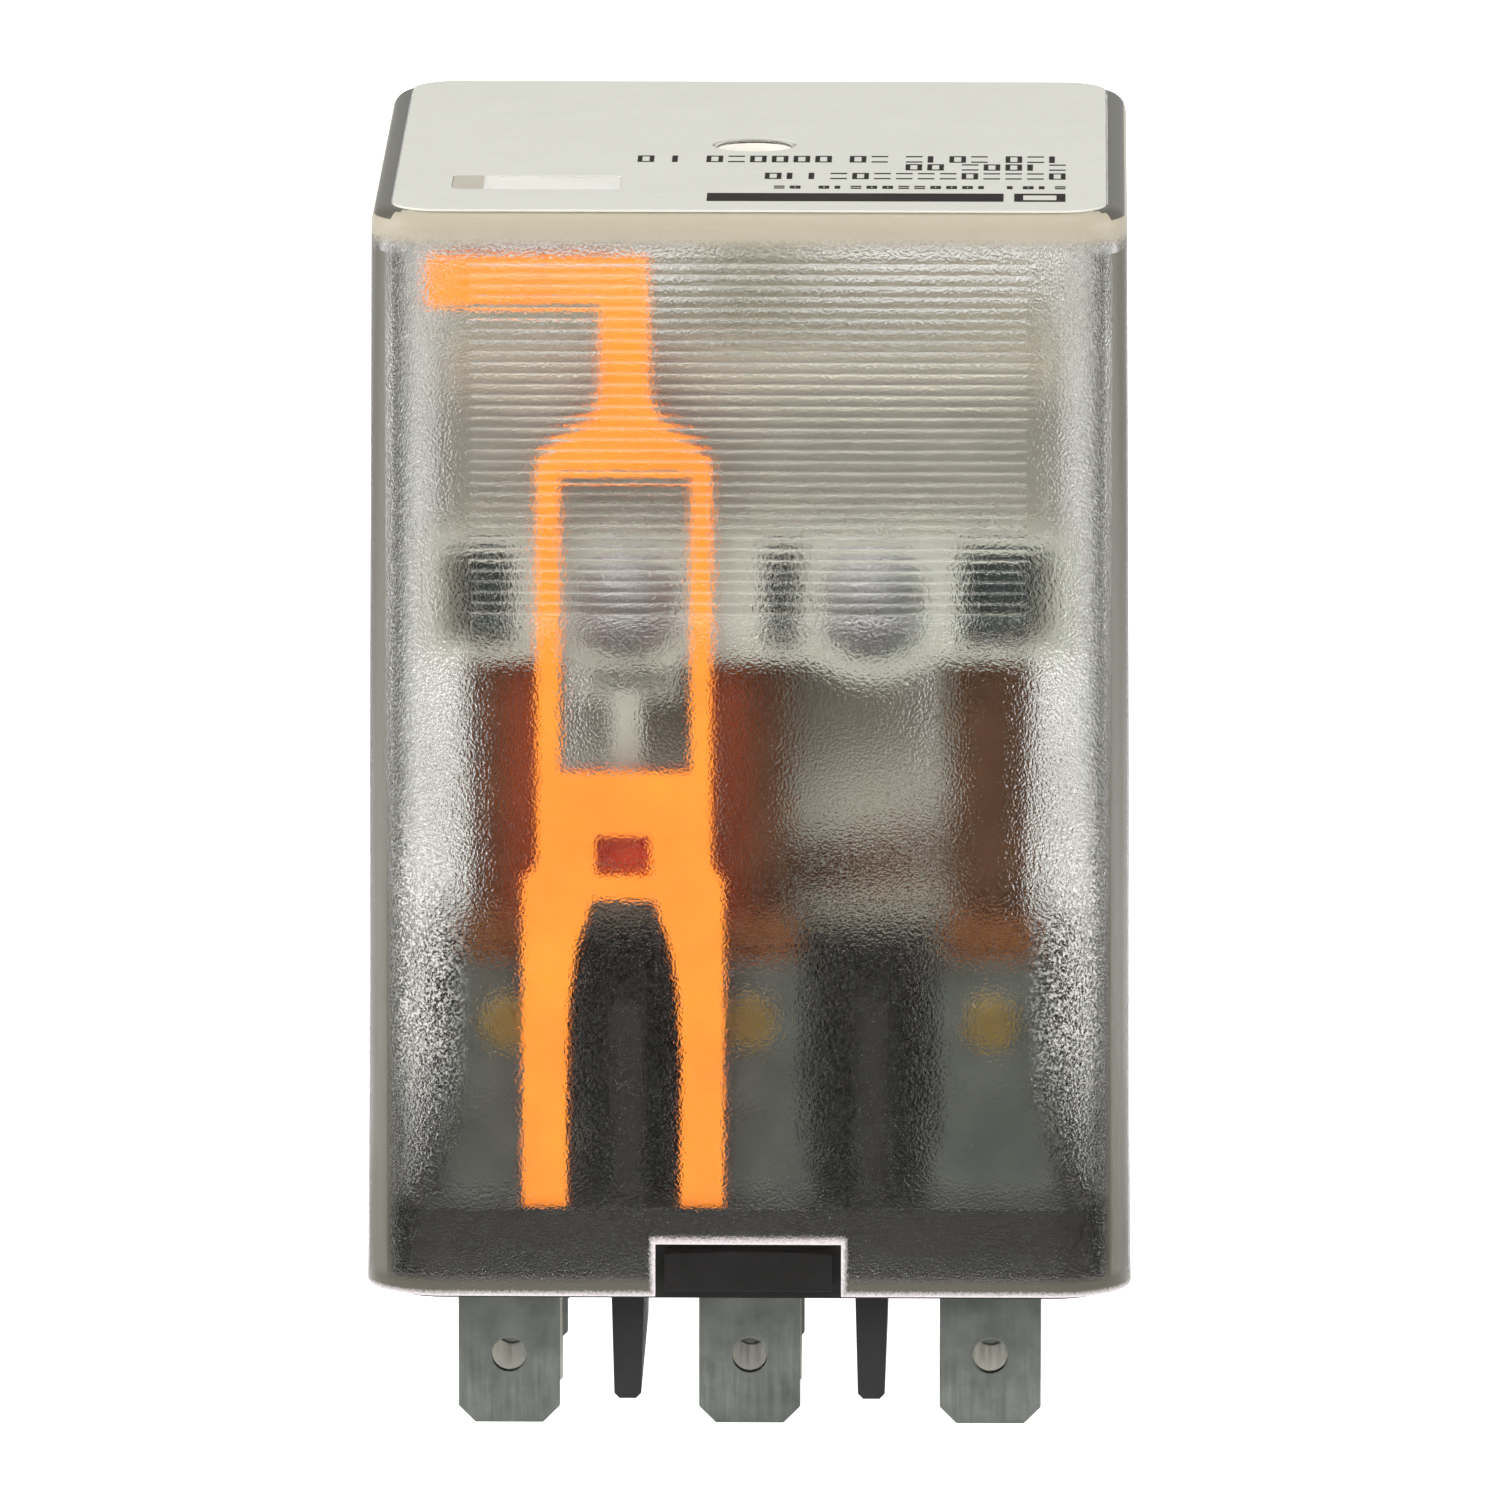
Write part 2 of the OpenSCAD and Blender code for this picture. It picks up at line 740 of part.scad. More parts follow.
module bobbin() {
    corner_x = 12;
    corner_half = 3.2;
    color([0.8, 0.77, 0.7])
        difference() {
            union() {
                flange([flange_z[0], flange_z[1]]);
                flange([flange_z[2], flange_z[3]]);
                translate([0, coil_y, flange_z[0]])
                    cylinder(h = flange_z[3] - flange_z[0], r = core_r + 1);
            }
            translate([0, coil_y, flange_z[0] - cut])
                cylinder(h = flange_z[3] - flange_z[0] + 2 * cut, r = core_r + play);
            // Corners cut away for the coil terminals
            for (side = [-1, 1])
                block(
                    [side * corner_x - corner_half, coil_row_y - 1, flange_z[0] - cut],
                    [side * corner_x + corner_half, flange_y[1] + cut, flange_z[1] + cut]
                );
        }
}

module tube(z, r_out, r_in) {
    translate([0, coil_y, z[0]])
        difference() {
            cylinder(h = z[1] - z[0], r = r_out);
            translate([0, 0, -cut]) cylinder(h = z[1] - z[0] + 2 * cut, r = r_in);
        }
}

module coil_winding() {
    color([0.7, 0.38, 0.2])
        tube([flange_z[1] + play, flange_z[2] - play], coil_r, core_r + 1 + play);
}

module coil_tape() {
    color([0.85, 0.82, 0.7]) tube(tape_z, coil_r + 0.2, coil_r + touch);
}

// The two ends of the winding, each on its way to a coil terminal
module coil_leads() {
    lead_r = 0.3;
    lead_z = 18.6;
    color([0.72, 0.4, 0.22])
        for (side = [-1, 1])
            wire(
                [side * 8, 8.25, lead_z],
                [side * 10, coil_row_y - blade_t / 2 - lead_r - touch, lead_z],
                lead_r
            );
}

module return_spring() {
    low = lug_hook_z[1] + touch;
    high = hinge[1] - touch;
    coil_outer = 1.3;
    coil_inner = 0.9;
    color([0.75, 0.75, 0.74])
        translate([0, spring_y, low])
            difference() {
                cylinder(h = high - low, r = coil_outer);
                translate([0, 0, -cut]) cylinder(h = high - low + 2 * cut, r = coil_inner);
            }
}

// ---------- assembly ----------

cover();
top_label();
base();
flag_lever();
test_plunger();
contact_carrier();
carrier_rivets();
armature();
yoke();
core();
shading_ring();
bobbin();
coil_winding();
coil_tape();
coil_leads();
return_spring();
coil_terminal(-1);  // coil_terminal_a
coil_terminal(1);  // coil_terminal_b
for (i = poles) {
    nc_terminal(i);
    no_terminal(i);
    com_terminal(i);
    nc_contact(i);
    no_contact(i);
    moving_contact(i);
    moving_spring(i);
    braid_clip(i);
    pigtail_braid(i);
}
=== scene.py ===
"""Looks of the plug-in relay: frosted cover, printed label, orange lever and what the cover shows inside.

Lengths are written in millimetres and multiplied by MM, unless a comment says otherwise. Places come from
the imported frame.
"""

import math
import random

import bmesh
import bpy
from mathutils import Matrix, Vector


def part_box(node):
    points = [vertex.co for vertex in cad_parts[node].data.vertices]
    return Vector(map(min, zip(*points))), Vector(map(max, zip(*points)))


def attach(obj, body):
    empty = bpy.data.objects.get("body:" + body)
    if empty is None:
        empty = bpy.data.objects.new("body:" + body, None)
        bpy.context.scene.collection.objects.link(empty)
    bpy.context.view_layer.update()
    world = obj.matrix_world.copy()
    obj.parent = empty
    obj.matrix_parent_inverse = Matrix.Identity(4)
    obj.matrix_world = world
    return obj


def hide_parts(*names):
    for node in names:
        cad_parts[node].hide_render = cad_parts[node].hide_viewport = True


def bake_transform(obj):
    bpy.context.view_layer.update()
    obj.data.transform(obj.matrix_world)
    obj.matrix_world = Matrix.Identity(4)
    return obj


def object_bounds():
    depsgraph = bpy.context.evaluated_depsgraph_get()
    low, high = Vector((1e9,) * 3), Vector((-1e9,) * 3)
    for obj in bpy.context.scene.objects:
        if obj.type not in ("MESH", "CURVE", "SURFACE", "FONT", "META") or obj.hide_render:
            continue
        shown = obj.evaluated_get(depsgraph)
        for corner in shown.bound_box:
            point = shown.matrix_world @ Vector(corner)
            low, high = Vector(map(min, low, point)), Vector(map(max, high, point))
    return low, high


MM = 0.001
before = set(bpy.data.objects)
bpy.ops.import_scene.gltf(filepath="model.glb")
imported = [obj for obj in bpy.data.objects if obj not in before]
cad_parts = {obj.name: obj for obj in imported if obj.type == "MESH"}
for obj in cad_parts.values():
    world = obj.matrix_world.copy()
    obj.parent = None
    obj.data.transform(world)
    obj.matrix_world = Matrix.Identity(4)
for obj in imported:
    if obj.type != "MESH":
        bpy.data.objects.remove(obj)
cad_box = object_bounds()

# ---------------------------------------------------------------- sizes, in mm, as in the design

COVER_LOW, COVER_HIGH = (Vector(c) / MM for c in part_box("cover"))
RIM_Z, TOP_Z = COVER_LOW.z, COVER_HIGH.z
RIM_HALF = (COVER_HIGH.x, COVER_HIGH.y)
DRAFT = 0.35
WALL = 0.95
ROOF = 1.1
RIM_RADIUS, TOP_RADIUS = 3.6, 3.0
TOP_FILLET = 0.9
INNER_FILLET = 0.4
RIM_EASE, RIM_EASE_Z, BORE_EASE, BOSS_EASE, BOSS_FOOT = 0.06, 0.12, 0.12, 0.1, 0.15
NOTCH_HALF = 4.38
NOTCH_TOP = 2.82
BOSS_R, BOSS_BOTTOM = 2.8, 48.5
BORE_R = 1.8
RIB_HALF = 13.0
RIB_Z = (33.0, 50.15)
RIB_PITCH = 0.52
RIB_WIDTH = 0.14
RIB_HEIGHT = 0.03
TOLERANCE = 0.01

# The lever: its pivot as (y, z), the lean of its front at rest, its middle and its half width
LEVER_PIVOT = (-17.3, 3.9)
LEVER_LEAN = math.radians(2)
LEVER_X, LEVER_HALF = -5.9, 4.2

# Poles and coil: the solder is (radius, height)
POLES = (1, 2, 3)
PITCH = 11.4
BRAID_R = 0.4
CORE_R = 5.05
WINDING_TURN = 0.24
SPRING_WIRE, SPRING_GAP, SPRING_END = 0.19, 0.16, 1.3
HOOK_R, HOOK_OVER, HOOK_STEPS, HOOK_TURN = 0.62, 0.1, 9, 25
LEAD_X = (8, 8.9, 10)
LEAD_START_Y, LEAD_END_INSET = 8.25, 0.3
SOLDER_BLOB = ((0.02, -0.5), (0.45, -0.36), (0.62, 0), (0.45, 0.36), (0.02, 0.5))

# Print: a row is its front edge, its back edge and its left limit
INK_T = 0.012
INK_STROKE = 0.22
PRINT_RIGHT = 14.8
PRINT_BAR = ((-2.0, -16.0), (11.9, -13.8))
PRINT_BOX_LEFT, PRINT_BOX_LINE = 12.4, 0.42
PRINT_ROWS = ((-5.1, -3.3, -4.7), (-7.3, -5.6, 7.7), (-9.8, -8.1, 0.7), (-12.5, -11.7, 0.4))
MARK_WIDTH, SMALL_MARK_WIDTH, MARK_GAP, WORD_GAP = 0.78, 0.5, 0.25, 0.6
WINDOW = ((-14.0, -12.75), (-6.15, -8.95))
WINDOW_STRIP, WINDOW_SINK = 1.4, 0.1
STRIP_T, PANE_T = 0.09, 0.05
PRESSED_FRAME = ((-14.7, 8.7), (-8.4, 15.8))
PRESSED_LINE, PRESSED_T = 0.14, 0.008

# ---------------------------------------------------------------- zones of the materials, in mm

CREAM_BAND_Z = 50.0
SMOKY_IN_X, SMOKY_IN_Y = 2.2, 1.6
CREAM_FADE = (50.2, 50.8)
EDGE_TONES_Z = (50.4, 52.0)
# Painted glow along the rim and round the notch: how far it reaches
EDGE_GLOW = (0.03, 0.3)
FACE_Y = 16.0
CORNER_BAND = (16.75, 16.6)
CORNER_FADE = 0.3
GRAIN_START_Z = (0.9, 1.3)
# Painted shade: the dark band at each inner upright corner
DARK_BAND_X, DARK_BAND_Y = (15.4, 16.2), (15.5, 16.0)
# Zones of the painted glints beside the corners
GLINT_X = ((13.0, 14.5), (16.2, 16.8))
GLINT_Y = (16.5, 17.5)
GLINT_LOW_Z, GLINT_HIGH_Z = ((8, 13), (20, 26)), ((41, 46), (49.5, 50.5))
# Painted shade: how far behind the lever's front its faces turn deep red
LEVER_SHADE_DEPTH = (-0.4, 0.2)
# Painted red glow of the lever on the springs: its reach beside the lever and its top
LEVER_GLOW_REACH, LEVER_GLOW_TOP = (0.0, 2.4), (28.0, 31.0)
# Painted shade: the springs turn slate grey towards the carrier
CARRIER_SHADE_Z = (30.5, 32.5)
# Painted shade on the coil tape, darker towards its top
TAPE_SHADE_Z = (20.5, 26.5)
# Painted light: the armature turns lighter towards its top
ARMATURE_PAINTED_LIGHT_Z = (41.0, 45.0)

# Scales of noise, in features per metre, and depths of bumps, in metres
MOULD_GRAIN = 9000
FLOW_MARKS = 260
STAINS = 420
SCRATCHES = 5200
WAVES = 5000
FROST_SCALE = 7000
FROST_DEPTH = 0.000062
PLASTIC_DEPTH = 0.000012
METAL_DEPTH = 0.000006

# Looks of the clear plastic
CLEAR_TINT = (0.985, 0.98, 0.955)
CLEAR_IOR = 1.5
FROSTED_ROUGHNESS = 0.09
# Shares of the painted glints, and of the painted highlights on the rib crests
BASE_GLINTS, ZONE_GLINTS, HIGH_GLINTS, CREST_SHARE = 0.03, 0.7, 0.2, 0.13
# Share of the painted shade on the rounded upright corners
CORNER_SHARE = 0.9

# Mesh clean-up: the weld distance in metres, and the angles of flat and of sharp edges
WELD = 2e-6
FLAT_ANGLE, SHARP_ANGLE = math.radians(0.5), math.radians(28)

rng = random.Random(17)


# ---------------------------------------------------------------- mesh helpers


def add_object(name, mesh):
    obj = bpy.data.objects.new(name, mesh)
    bpy.context.scene.collection.objects.link(obj)
    return obj


def smooth(obj, degrees):
    """Smooth shading, with edges sharper than the angle kept sharp."""
    bm = bmesh.new()
    bm.from_mesh(obj.data)
    limit = math.radians(degrees)
    for face in bm.faces:
        face.smooth = True
    for edge in bm.edges:
        edge.smooth = len(edge.link_faces) == 2 and edge.calc_face_angle(0) < limit
    bm.to_mesh(obj.data)
    bm.free()
    return obj


def mesh_from(name, points, faces, slots=None):
    """Closed mesh from points in mm; slots gives each face's material index."""
    mesh = bpy.data.meshes.new(name)
    mesh.from_pydata([Vector(p) * MM for p in points], [], faces)
    if slots:
        mesh.polygons.foreach_set("material_index", slots)
    bm = bmesh.new()
    bm.from_mesh(mesh)
    bmesh.ops.recalc_face_normals(bm, faces=bm.faces)
    bm.to_mesh(mesh)
    bm.free()
    return add_object(name, mesh)


def refined(name, node, body, mat, bevel, segments=2, *, slot):
    """A copy of a CAD node with its edges rounded; it stands for the node."""
    bm = bmesh.new()
    bm.from_mesh(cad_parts[node].data)
    bmesh.ops.remove_doubles(bm, verts=bm.verts, dist=WELD)
    bmesh.ops.dissolve_limit(bm, angle_limit=FLAT_ANGLE, verts=bm.verts, edges=bm.edges)
    sharp = [e for e in bm.edges if len(e.link_faces) == 2 and e.calc_face_angle(0) > SHARP_ANGLE]
    bmesh.ops.bevel(
        bm, geom=sharp, offset=bevel * MM, segments=segments, profile=0.5,
        affect="EDGES", clamp_overlap=True,
    )
    bmesh.ops.recalc_face_normals(bm, faces=bm.faces)
    mesh = bpy.data.meshes.new(name)
    bm.to_mesh(mesh)
    bm.free()
    obj = smooth(add_object(name, mesh), 40)
    even = obj.modifiers.new("even_shading", "WEIGHTED_NORMAL")
    even.keep_sharp = True
    obj.data.materials.clear()
    obj.data.materials.append(mat)
    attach(obj, body)
    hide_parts(node)


def tube(points, radius, sides):
    """Points and faces of a round tube along a path, with flat ends."""
    path = [Vector(p) for p in points]
    last = len(path) - 1
    verts, faces = [], []
    up = Vector((0.13, 0.29, 0.95)).normalized()
    for k, p in enumerate(path):
        along = (path[min(k + 1, last)] - path[max(k - 1, 0)]).normalized()
        side = along.cross(up)
        if side.length < 0.05:
            side = along.cross(Vector((1, 0, 0)))
        side.normalize()
        up = side.cross(along).normalized()
        for a in range(sides):
            t = 2 * math.pi * a / sides
            verts.append(p + radius * (math.cos(t) * side + math.sin(t) * up))
    for k in range(0, last * sides, sides):
        for a in range(sides):
            b = (a + 1) % sides
            faces.append([k + a, k + b, k + sides + b, k + sides + a])
    faces.append(list(reversed(range(sides))))
    faces.append([last * sides + a for a in range(sides)])
    return verts, faces


def merged(parts):
    """Joins several (points, faces) lists into one."""
    verts, faces = [], []
    for v, f in parts:
        base = len(verts)
        verts += v
        faces += [[i + base for i in face] for face in f]
    return verts, faces


def lathe(profile, centre, sides=96):
    """Closed ring of revolution about a vertical axis; profile is a closed loop of (radius, z)."""
    verts, faces = [], []
    rows = len(profile)
    for a in range(sides):
        t = 2 * math.pi * a / sides
        verts += [(centre[0] + r * math.cos(t), centre[1] + r * math.sin(t), z) for r, z in profile]
    for a in range(sides):
        b = (a + 1) % sides
        for k in range(rows):
            n = (k + 1) % rows
            faces.append([a * rows + k, b * rows + k, b * rows + n, a * rows + n])
    return verts, faces


# ---------------------------------------------------------------- material helpers


class Graph:
    """Short way to write a material's nodes."""

    def __init__(self, name):
        self.mat = bpy.data.materials.new(name)
        self.mat.use_nodes = True
        self.tree = self.mat.node_tree
        self.tree.nodes.clear()
        self.out = self.tree.nodes.new("ShaderNodeOutputMaterial")

    def node(self, kind, inputs=None, **settings):
        n = self.tree.nodes.new(kind)
        for key, value in settings.items():
            setattr(n, key, value)
        for key, value in (inputs or {}).items():
            socket = n.inputs[key]
            if isinstance(value, bpy.types.NodeSocket):
                self.tree.links.new(value, socket)
            else:
                socket.default_value = value
        return n

    def place(self, stretch=(1, 1, 1)):
        """Object coordinates, stretched."""
        coords = self.node("ShaderNodeTexCoord").outputs["Object"]
        return self.node("ShaderNodeMapping", {"Vector": coords, "Scale": stretch}).outputs["Vector"]

    def axes(self):
        """X, Y and Z of the object coordinates."""
        coords = self.node("ShaderNodeTexCoord").outputs["Object"]
        split = self.node("ShaderNodeSeparateXYZ", {"Vector": coords})
        return [split.outputs[axis] for axis in "XYZ"]

    def noise(self, scale, detail=3, roughness=0.5, stretch=(1, 1, 1)):
        inputs = {"Vector": self.place(stretch), "Scale": scale, "Detail": detail, "Roughness": roughness}
        return self.node("ShaderNodeTexNoise", inputs).outputs["Fac"]

    def wobbled(self, value, scale, amount):
        """A length with noise added, by at most about half the amount in mm either way."""
        wave = self.math("SUBTRACT", self.noise(scale, 2), 0.5)
        return self.math("ADD", value, self.math("MULTIPLY", wave, amount * MM))

    def remap(self, value, low, high, to_low, to_high):
        return self.node(
            "ShaderNodeMapRange",
            {"Value": value, "From Min": low, "From Max": high, "To Min": to_low, "To Max": to_high},
        ).outputs["Result"]

    def fade(self, value, limits, start=0.0, end=1.0):
        """A length mapped from its limits in mm to start and end."""
        return self.remap(value, limits[0] * MM, limits[1] * MM, start, end)

    def between(self, value, rise, fall, top=1.0):
        """Rises from 0 to top over the first range in mm and falls back over the second."""
        return self.math("MULTIPLY", self.fade(value, rise, 0.0, top), self.fade(value, fall, 1.0, 0.0))

    def ramp(self, value, *stops):
        n = self.node("ShaderNodeValToRGB", {"Fac": value})
        elements = n.color_ramp.elements
        while len(elements) < len(stops):
            elements.new(0.5)
        for element, (place, colour) in zip(elements, stops):
            element.position = place
            element.color = (*colour, 1)
        return n.outputs["Color"]

    def mix(self, factor, a, b):
        n = self.node("ShaderNodeMix", data_type="RGBA")
        for key, value in ((0, factor), (6, a), (7, b)):
            socket = n.inputs[key]
            if isinstance(value, bpy.types.NodeSocket):
                self.tree.links.new(value, socket)
            else:
                socket.default_value = (*value, 1) if isinstance(value, tuple) else value
        return n.outputs[2]

    def math(self, operation, a, b=0.0):
        n = self.node("ShaderNodeMath", operation=operation)
        for key, value in ((0, a), (1, b)):
            if isinstance(value, bpy.types.NodeSocket):
                self.tree.links.new(value, n.inputs[key])
            else:
                n.inputs[key].default_value = value
        return n.outputs[0]

    def bump(self, height, distance, strength):
        inputs = {"Height": height, "Distance": distance, "Strength": strength}
        return self.node("ShaderNodeBump", inputs).outputs["Normal"]

    def shader(self, **inputs):
        named = {k.replace("_", " "): v for k, v in inputs.items()}
        colour = named["Base Color"]
        if isinstance(colour, tuple):
            named["Base Color"] = (*colour, 1)
        return self.node("ShaderNodeBsdfPrincipled", named)

    def mix_shaders(self, share, first, second):
        mixed = self.node("ShaderNodeMixShader", {"Fac": share})
        self.tree.links.new(first.outputs[0], mixed.inputs[1])
        self.tree.links.new(second.outputs[0], mixed.inputs[2])
        return mixed

    def finish(self, shader):
        self.tree.links.new(shader.outputs[0], self.out.inputs["Surface"])
        return self.mat


def plastic(
    name, colour, dark, roughness, grain=MOULD_GRAIN, depth=PLASTIC_DEPTH, subsurface=0.0, specular=0.5
):
    """Moulded plastic: faint flow marks in its colour, fine grain in its surface."""
    g = Graph(name)
    flow = g.noise(FLOW_MARKS, 3, 0.55)
    fine = g.noise(grain, 4, 0.6)
    shader = g.shader(
        Base_Color=g.ramp(flow, (0.3, dark), (0.68, colour)),
        Roughness=g.remap(fine, 0.3, 0.7, roughness - 0.07, roughness + 0.08),
        Normal=g.bump(fine, depth, 0.6),
        Subsurface_Weight=subsurface,
        Subsurface_Radius=(0.0008, 0.0004, 0.0002),
        Specular_IOR_Level=specular,
    )
    return g.finish(shader)


def lever_orange():
    """Translucent orange nylon, bright in front, with painted shade: deep red in its holes, along its thick
    sides and on the faces behind its front.
    """
    g = Graph("orange_nylon")
    flow = g.noise(FLOW_MARKS, 3, 0.55)
    face = g.ramp(flow, (0.3, (0.93, 0.235, 0.008)), (0.68, (0.98, 0.29, 0.012)))
    normal = g.node("ShaderNodeNewGeometry").outputs["Normal"]
    sideways = g.math("ABSOLUTE", g.node("ShaderNodeSeparateXYZ", {"Vector": normal}).outputs["X"])
    y, z = g.axes()[1:]
    back = g.math("SUBTRACT", y, LEVER_PIVOT[0] * MM)
    up = g.math("SUBTRACT", z, LEVER_PIVOT[1] * MM)
    depth = g.math("SUBTRACT", back, g.math("MULTIPLY", up, math.tan(LEVER_LEAN)))
    # Painted shade: deep red in the holes, along the sides and on the faces behind the front
    red = g.math("MULTIPLY", g.fade(depth, LEVER_SHADE_DEPTH), g.remap(sideways, 0.3, 0.8, 0.9, 1.0))
    fine = g.noise(MOULD_GRAIN, 4, 0.6)
    shader = g.shader(
        Base_Color=g.mix(red, face, (0.6, 0.03, 0.004)),
        Roughness=g.remap(fine, 0.3, 0.7, 0.38, 0.53),
        Normal=g.bump(fine, PLASTIC_DEPTH, 0.6),
        Subsurface_Weight=0.2,
        Subsurface_Radius=(0.0008, 0.0004, 0.0002),
    )
    return g.finish(shader)


def metal(name, colour, dark, roughness, brush=(1, 1, 0.06), upper=None):
    """Plated or drawn metal: stains in its colour, fine scratches along one direction, and, where upper is
    given, painted light that makes it lighter towards its top.
    """
    g = Graph(name)
    base = g.ramp(g.noise(STAINS, 5, 0.6), (0.32, dark), (0.62, colour))
    # Painted light: lighter towards the top
    if upper:
        limits, tone = upper
        base = g.mix(g.fade(g.axes()[2], limits), base, tone)
    lines = g.noise(SCRATCHES, 4, 0.65, stretch=brush)
    pits = g.noise(SCRATCHES / 2, 2, 0.5)
    height = g.math("ADD", lines, g.math("MULTIPLY", pits, 0.5))
    shader = g.shader(
        Base_Color=base,
        Roughness=g.remap(lines, 0.35, 0.7, roughness - 0.1, roughness + 0.14),
        Normal=g.bump(height, METAL_DEPTH, 0.8),
        Metallic=1.0,
    )
    return g.finish(shader)


# ---------------------------------------------------------------- cover

FRONT_STATIONS = [-13.12, -13.0, -8.7, -4.38, -2.2, 0.0, 2.2, 4.38, 8.7, 13.0, 13.12]
SIDE_STATIONS = [-12.0, -8.0, -4.0, 0.0, 4.0, 8.0, 12.0]
CORNER_STEPS = 14
POLISHED, FROSTED, CREAM, SMOKY, BOSS = range(5)


def rounded_outline(half_x, half_y, radius):
    """Points round a rounded rectangle from the front left, the same count for every size."""
    points = []

    def corner(cx, cy, start):
        for k in range(CORNER_STEPS + 1):
            t = math.radians(start + 90 * k / CORNER_STEPS)
            points.append((cx + radius * math.cos(t), cy + radius * math.sin(t)))

    inner_x, inner_y = half_x - radius, half_y - radius
    points += [(x, -half_y) for x in FRONT_STATIONS]
    corner(inner_x, -inner_y, -90)
    points += [(half_x, y) for y in SIDE_STATIONS]
    corner(inner_x, inner_y, 0)
    points += [(x, half_y) for x in reversed(FRONT_STATIONS)]
    corner(-inner_x, inner_y, 90)
    points += [(-half_x, y) for y in reversed(SIDE_STATIONS)]
    corner(-inner_x, -inner_y, 180)
    return points


def outer_size(z, inset=0.0):
    """Half sizes and corner radius of the cover's drafted outside at a height."""
    t = (z - RIM_Z) / (TOP_Z - RIM_Z)
    radius = RIM_RADIUS + (TOP_RADIUS - RIM_RADIUS) * t
    shrink = DRAFT * t + inset
    return RIM_HALF[0] - shrink, RIM_HALF[1] - shrink, max(radius - inset, 0.3)


def rib_height(x, y, z):
    """How far the ribbed panel on the front stands out at a point of the outside."""
    if y > 0 or abs(x) > RIB_HALF + TOLERANCE or not RIB_Z[0] - RIB_WIDTH < z < RIB_Z[1] + RIB_WIDTH:
        return 0.0
    offset = (z - RIB_Z[0] + RIB_PITCH / 2) % RIB_PITCH - RIB_PITCH / 2
    t = abs(offset) / (RIB_WIDTH / 2)
    return RIB_HEIGHT * max(0.0, 1 - t * t)


def wall_rows():
    """Heights of the outer wall's rows: plain steps, and five rows across each rib."""
    rows = {RIM_Z, RIM_Z + RIM_EASE_Z, NOTCH_TOP, CREAM_BAND_Z, TOP_Z - TOP_FILLET}
    rows.update(range(6, 32, 3))
    ribs = int((RIB_Z[1] - RIB_Z[0]) / RIB_PITCH) + 1
    for k in range(ribs):
        middle = RIB_Z[0] + k * RIB_PITCH
        rows.update(round(middle + RIB_WIDTH / 2 * s, 4) for s in (-1, -0.6, 0, 0.6, 1))
    return sorted(rows)


def cover_rings():
    """Every ring of the cover's skin in order, as (points, material index), and the notch's top row."""
    rings = []

    def add(points, z, slot, lift=False):
        out = []
        for x, y in points:
            out.append((x, y - (rib_height(x, y, z) if lift else 0.0), z))
        rings.append((out, slot))

    def circle_of(radius):
        return [
            (radius * math.cos(math.atan2(y, x)), radius * math.sin(math.atan2(y, x)))
            for x, y in rounded_outline(*outer_size(TOP_Z))
        ]

    def blend_rings(a, b, t):
        return [(p[0] + (q[0] - p[0]) * t, p[1] + (q[1] - p[1]) * t) for p, q in zip(a, b)]

    rows = wall_rows()
    for z in rows:
        inset = RIM_EASE if z == RIM_Z else 0.0
        add(rounded_outline(*outer_size(z, inset)), z, CREAM if z > CREAM_BAND_Z else FROSTED, lift=True)
    for k in range(1, 7):
        t = math.radians(15 * k)
        inset = TOP_FILLET * (1 - math.cos(t))
        add(rounded_outline(*outer_size(TOP_Z, inset)), TOP_Z - TOP_FILLET * (1 - math.sin(t)), CREAM)
    top_edge = [(x, y) for x, y, _ in rings[-1][0]]
    mouth = circle_of(BORE_R)
    for t in (0.3, 0.6, 0.85):
        add(blend_rings(top_edge, mouth, t), TOP_Z, POLISHED)
    add(circle_of(BORE_R + BORE_EASE), TOP_Z, POLISHED)
    add(mouth, TOP_Z - BORE_EASE, POLISHED)
    add(mouth, BOSS_BOTTOM, BOSS)
    add(circle_of(BOSS_R - BOSS_EASE), BOSS_BOTTOM, BOSS)
    add(circle_of(BOSS_R), BOSS_BOTTOM + BOSS_EASE, BOSS)
    roof = TOP_Z - ROOF
    add(circle_of(BOSS_R), roof - BOSS_FOOT, BOSS)
    boss_foot = circle_of(BOSS_R + BOSS_FOOT)
    add(boss_foot, roof, POLISHED)
    wide = rounded_outline(*outer_size(roof, WALL + INNER_FILLET))
    for t in (0.25, 0.6):
        add(blend_rings(boss_foot, wide, t), roof, POLISHED)
    for k in range(5):
        t = math.radians(22.5 * k)
        inset = WALL + INNER_FILLET * (1 - math.sin(t))
        add(rounded_outline(*outer_size(roof, inset)), roof - INNER_FILLET * (1 - math.cos(t)), POLISHED)
    for z in reversed([RIM_Z, NOTCH_TOP, *range(6, 50, 4)]):
        add(rounded_outline(*outer_size(z, WALL)), z, POLISHED)
    return rings, rows.index(NOTCH_TOP)


def skin_slot(rings, ring, above, column, nxt):
    """Material of a quad: the rings say it, but the rounded side edges of the top are smoky."""
    slot = rings[above][1]
    a, b = rings[above][0][column], rings[ring][0][nxt]
    beside = abs(a[0]) > RIM_HALF[0] - SMOKY_IN_X and abs(a[1]) < RIM_HALF[1] - SMOKY_IN_Y
    rounded = min(a[2], b[2]) > TOP_Z - TOP_FILLET * 0.55
    return SMOKY if slot == CREAM and beside and rounded else slot


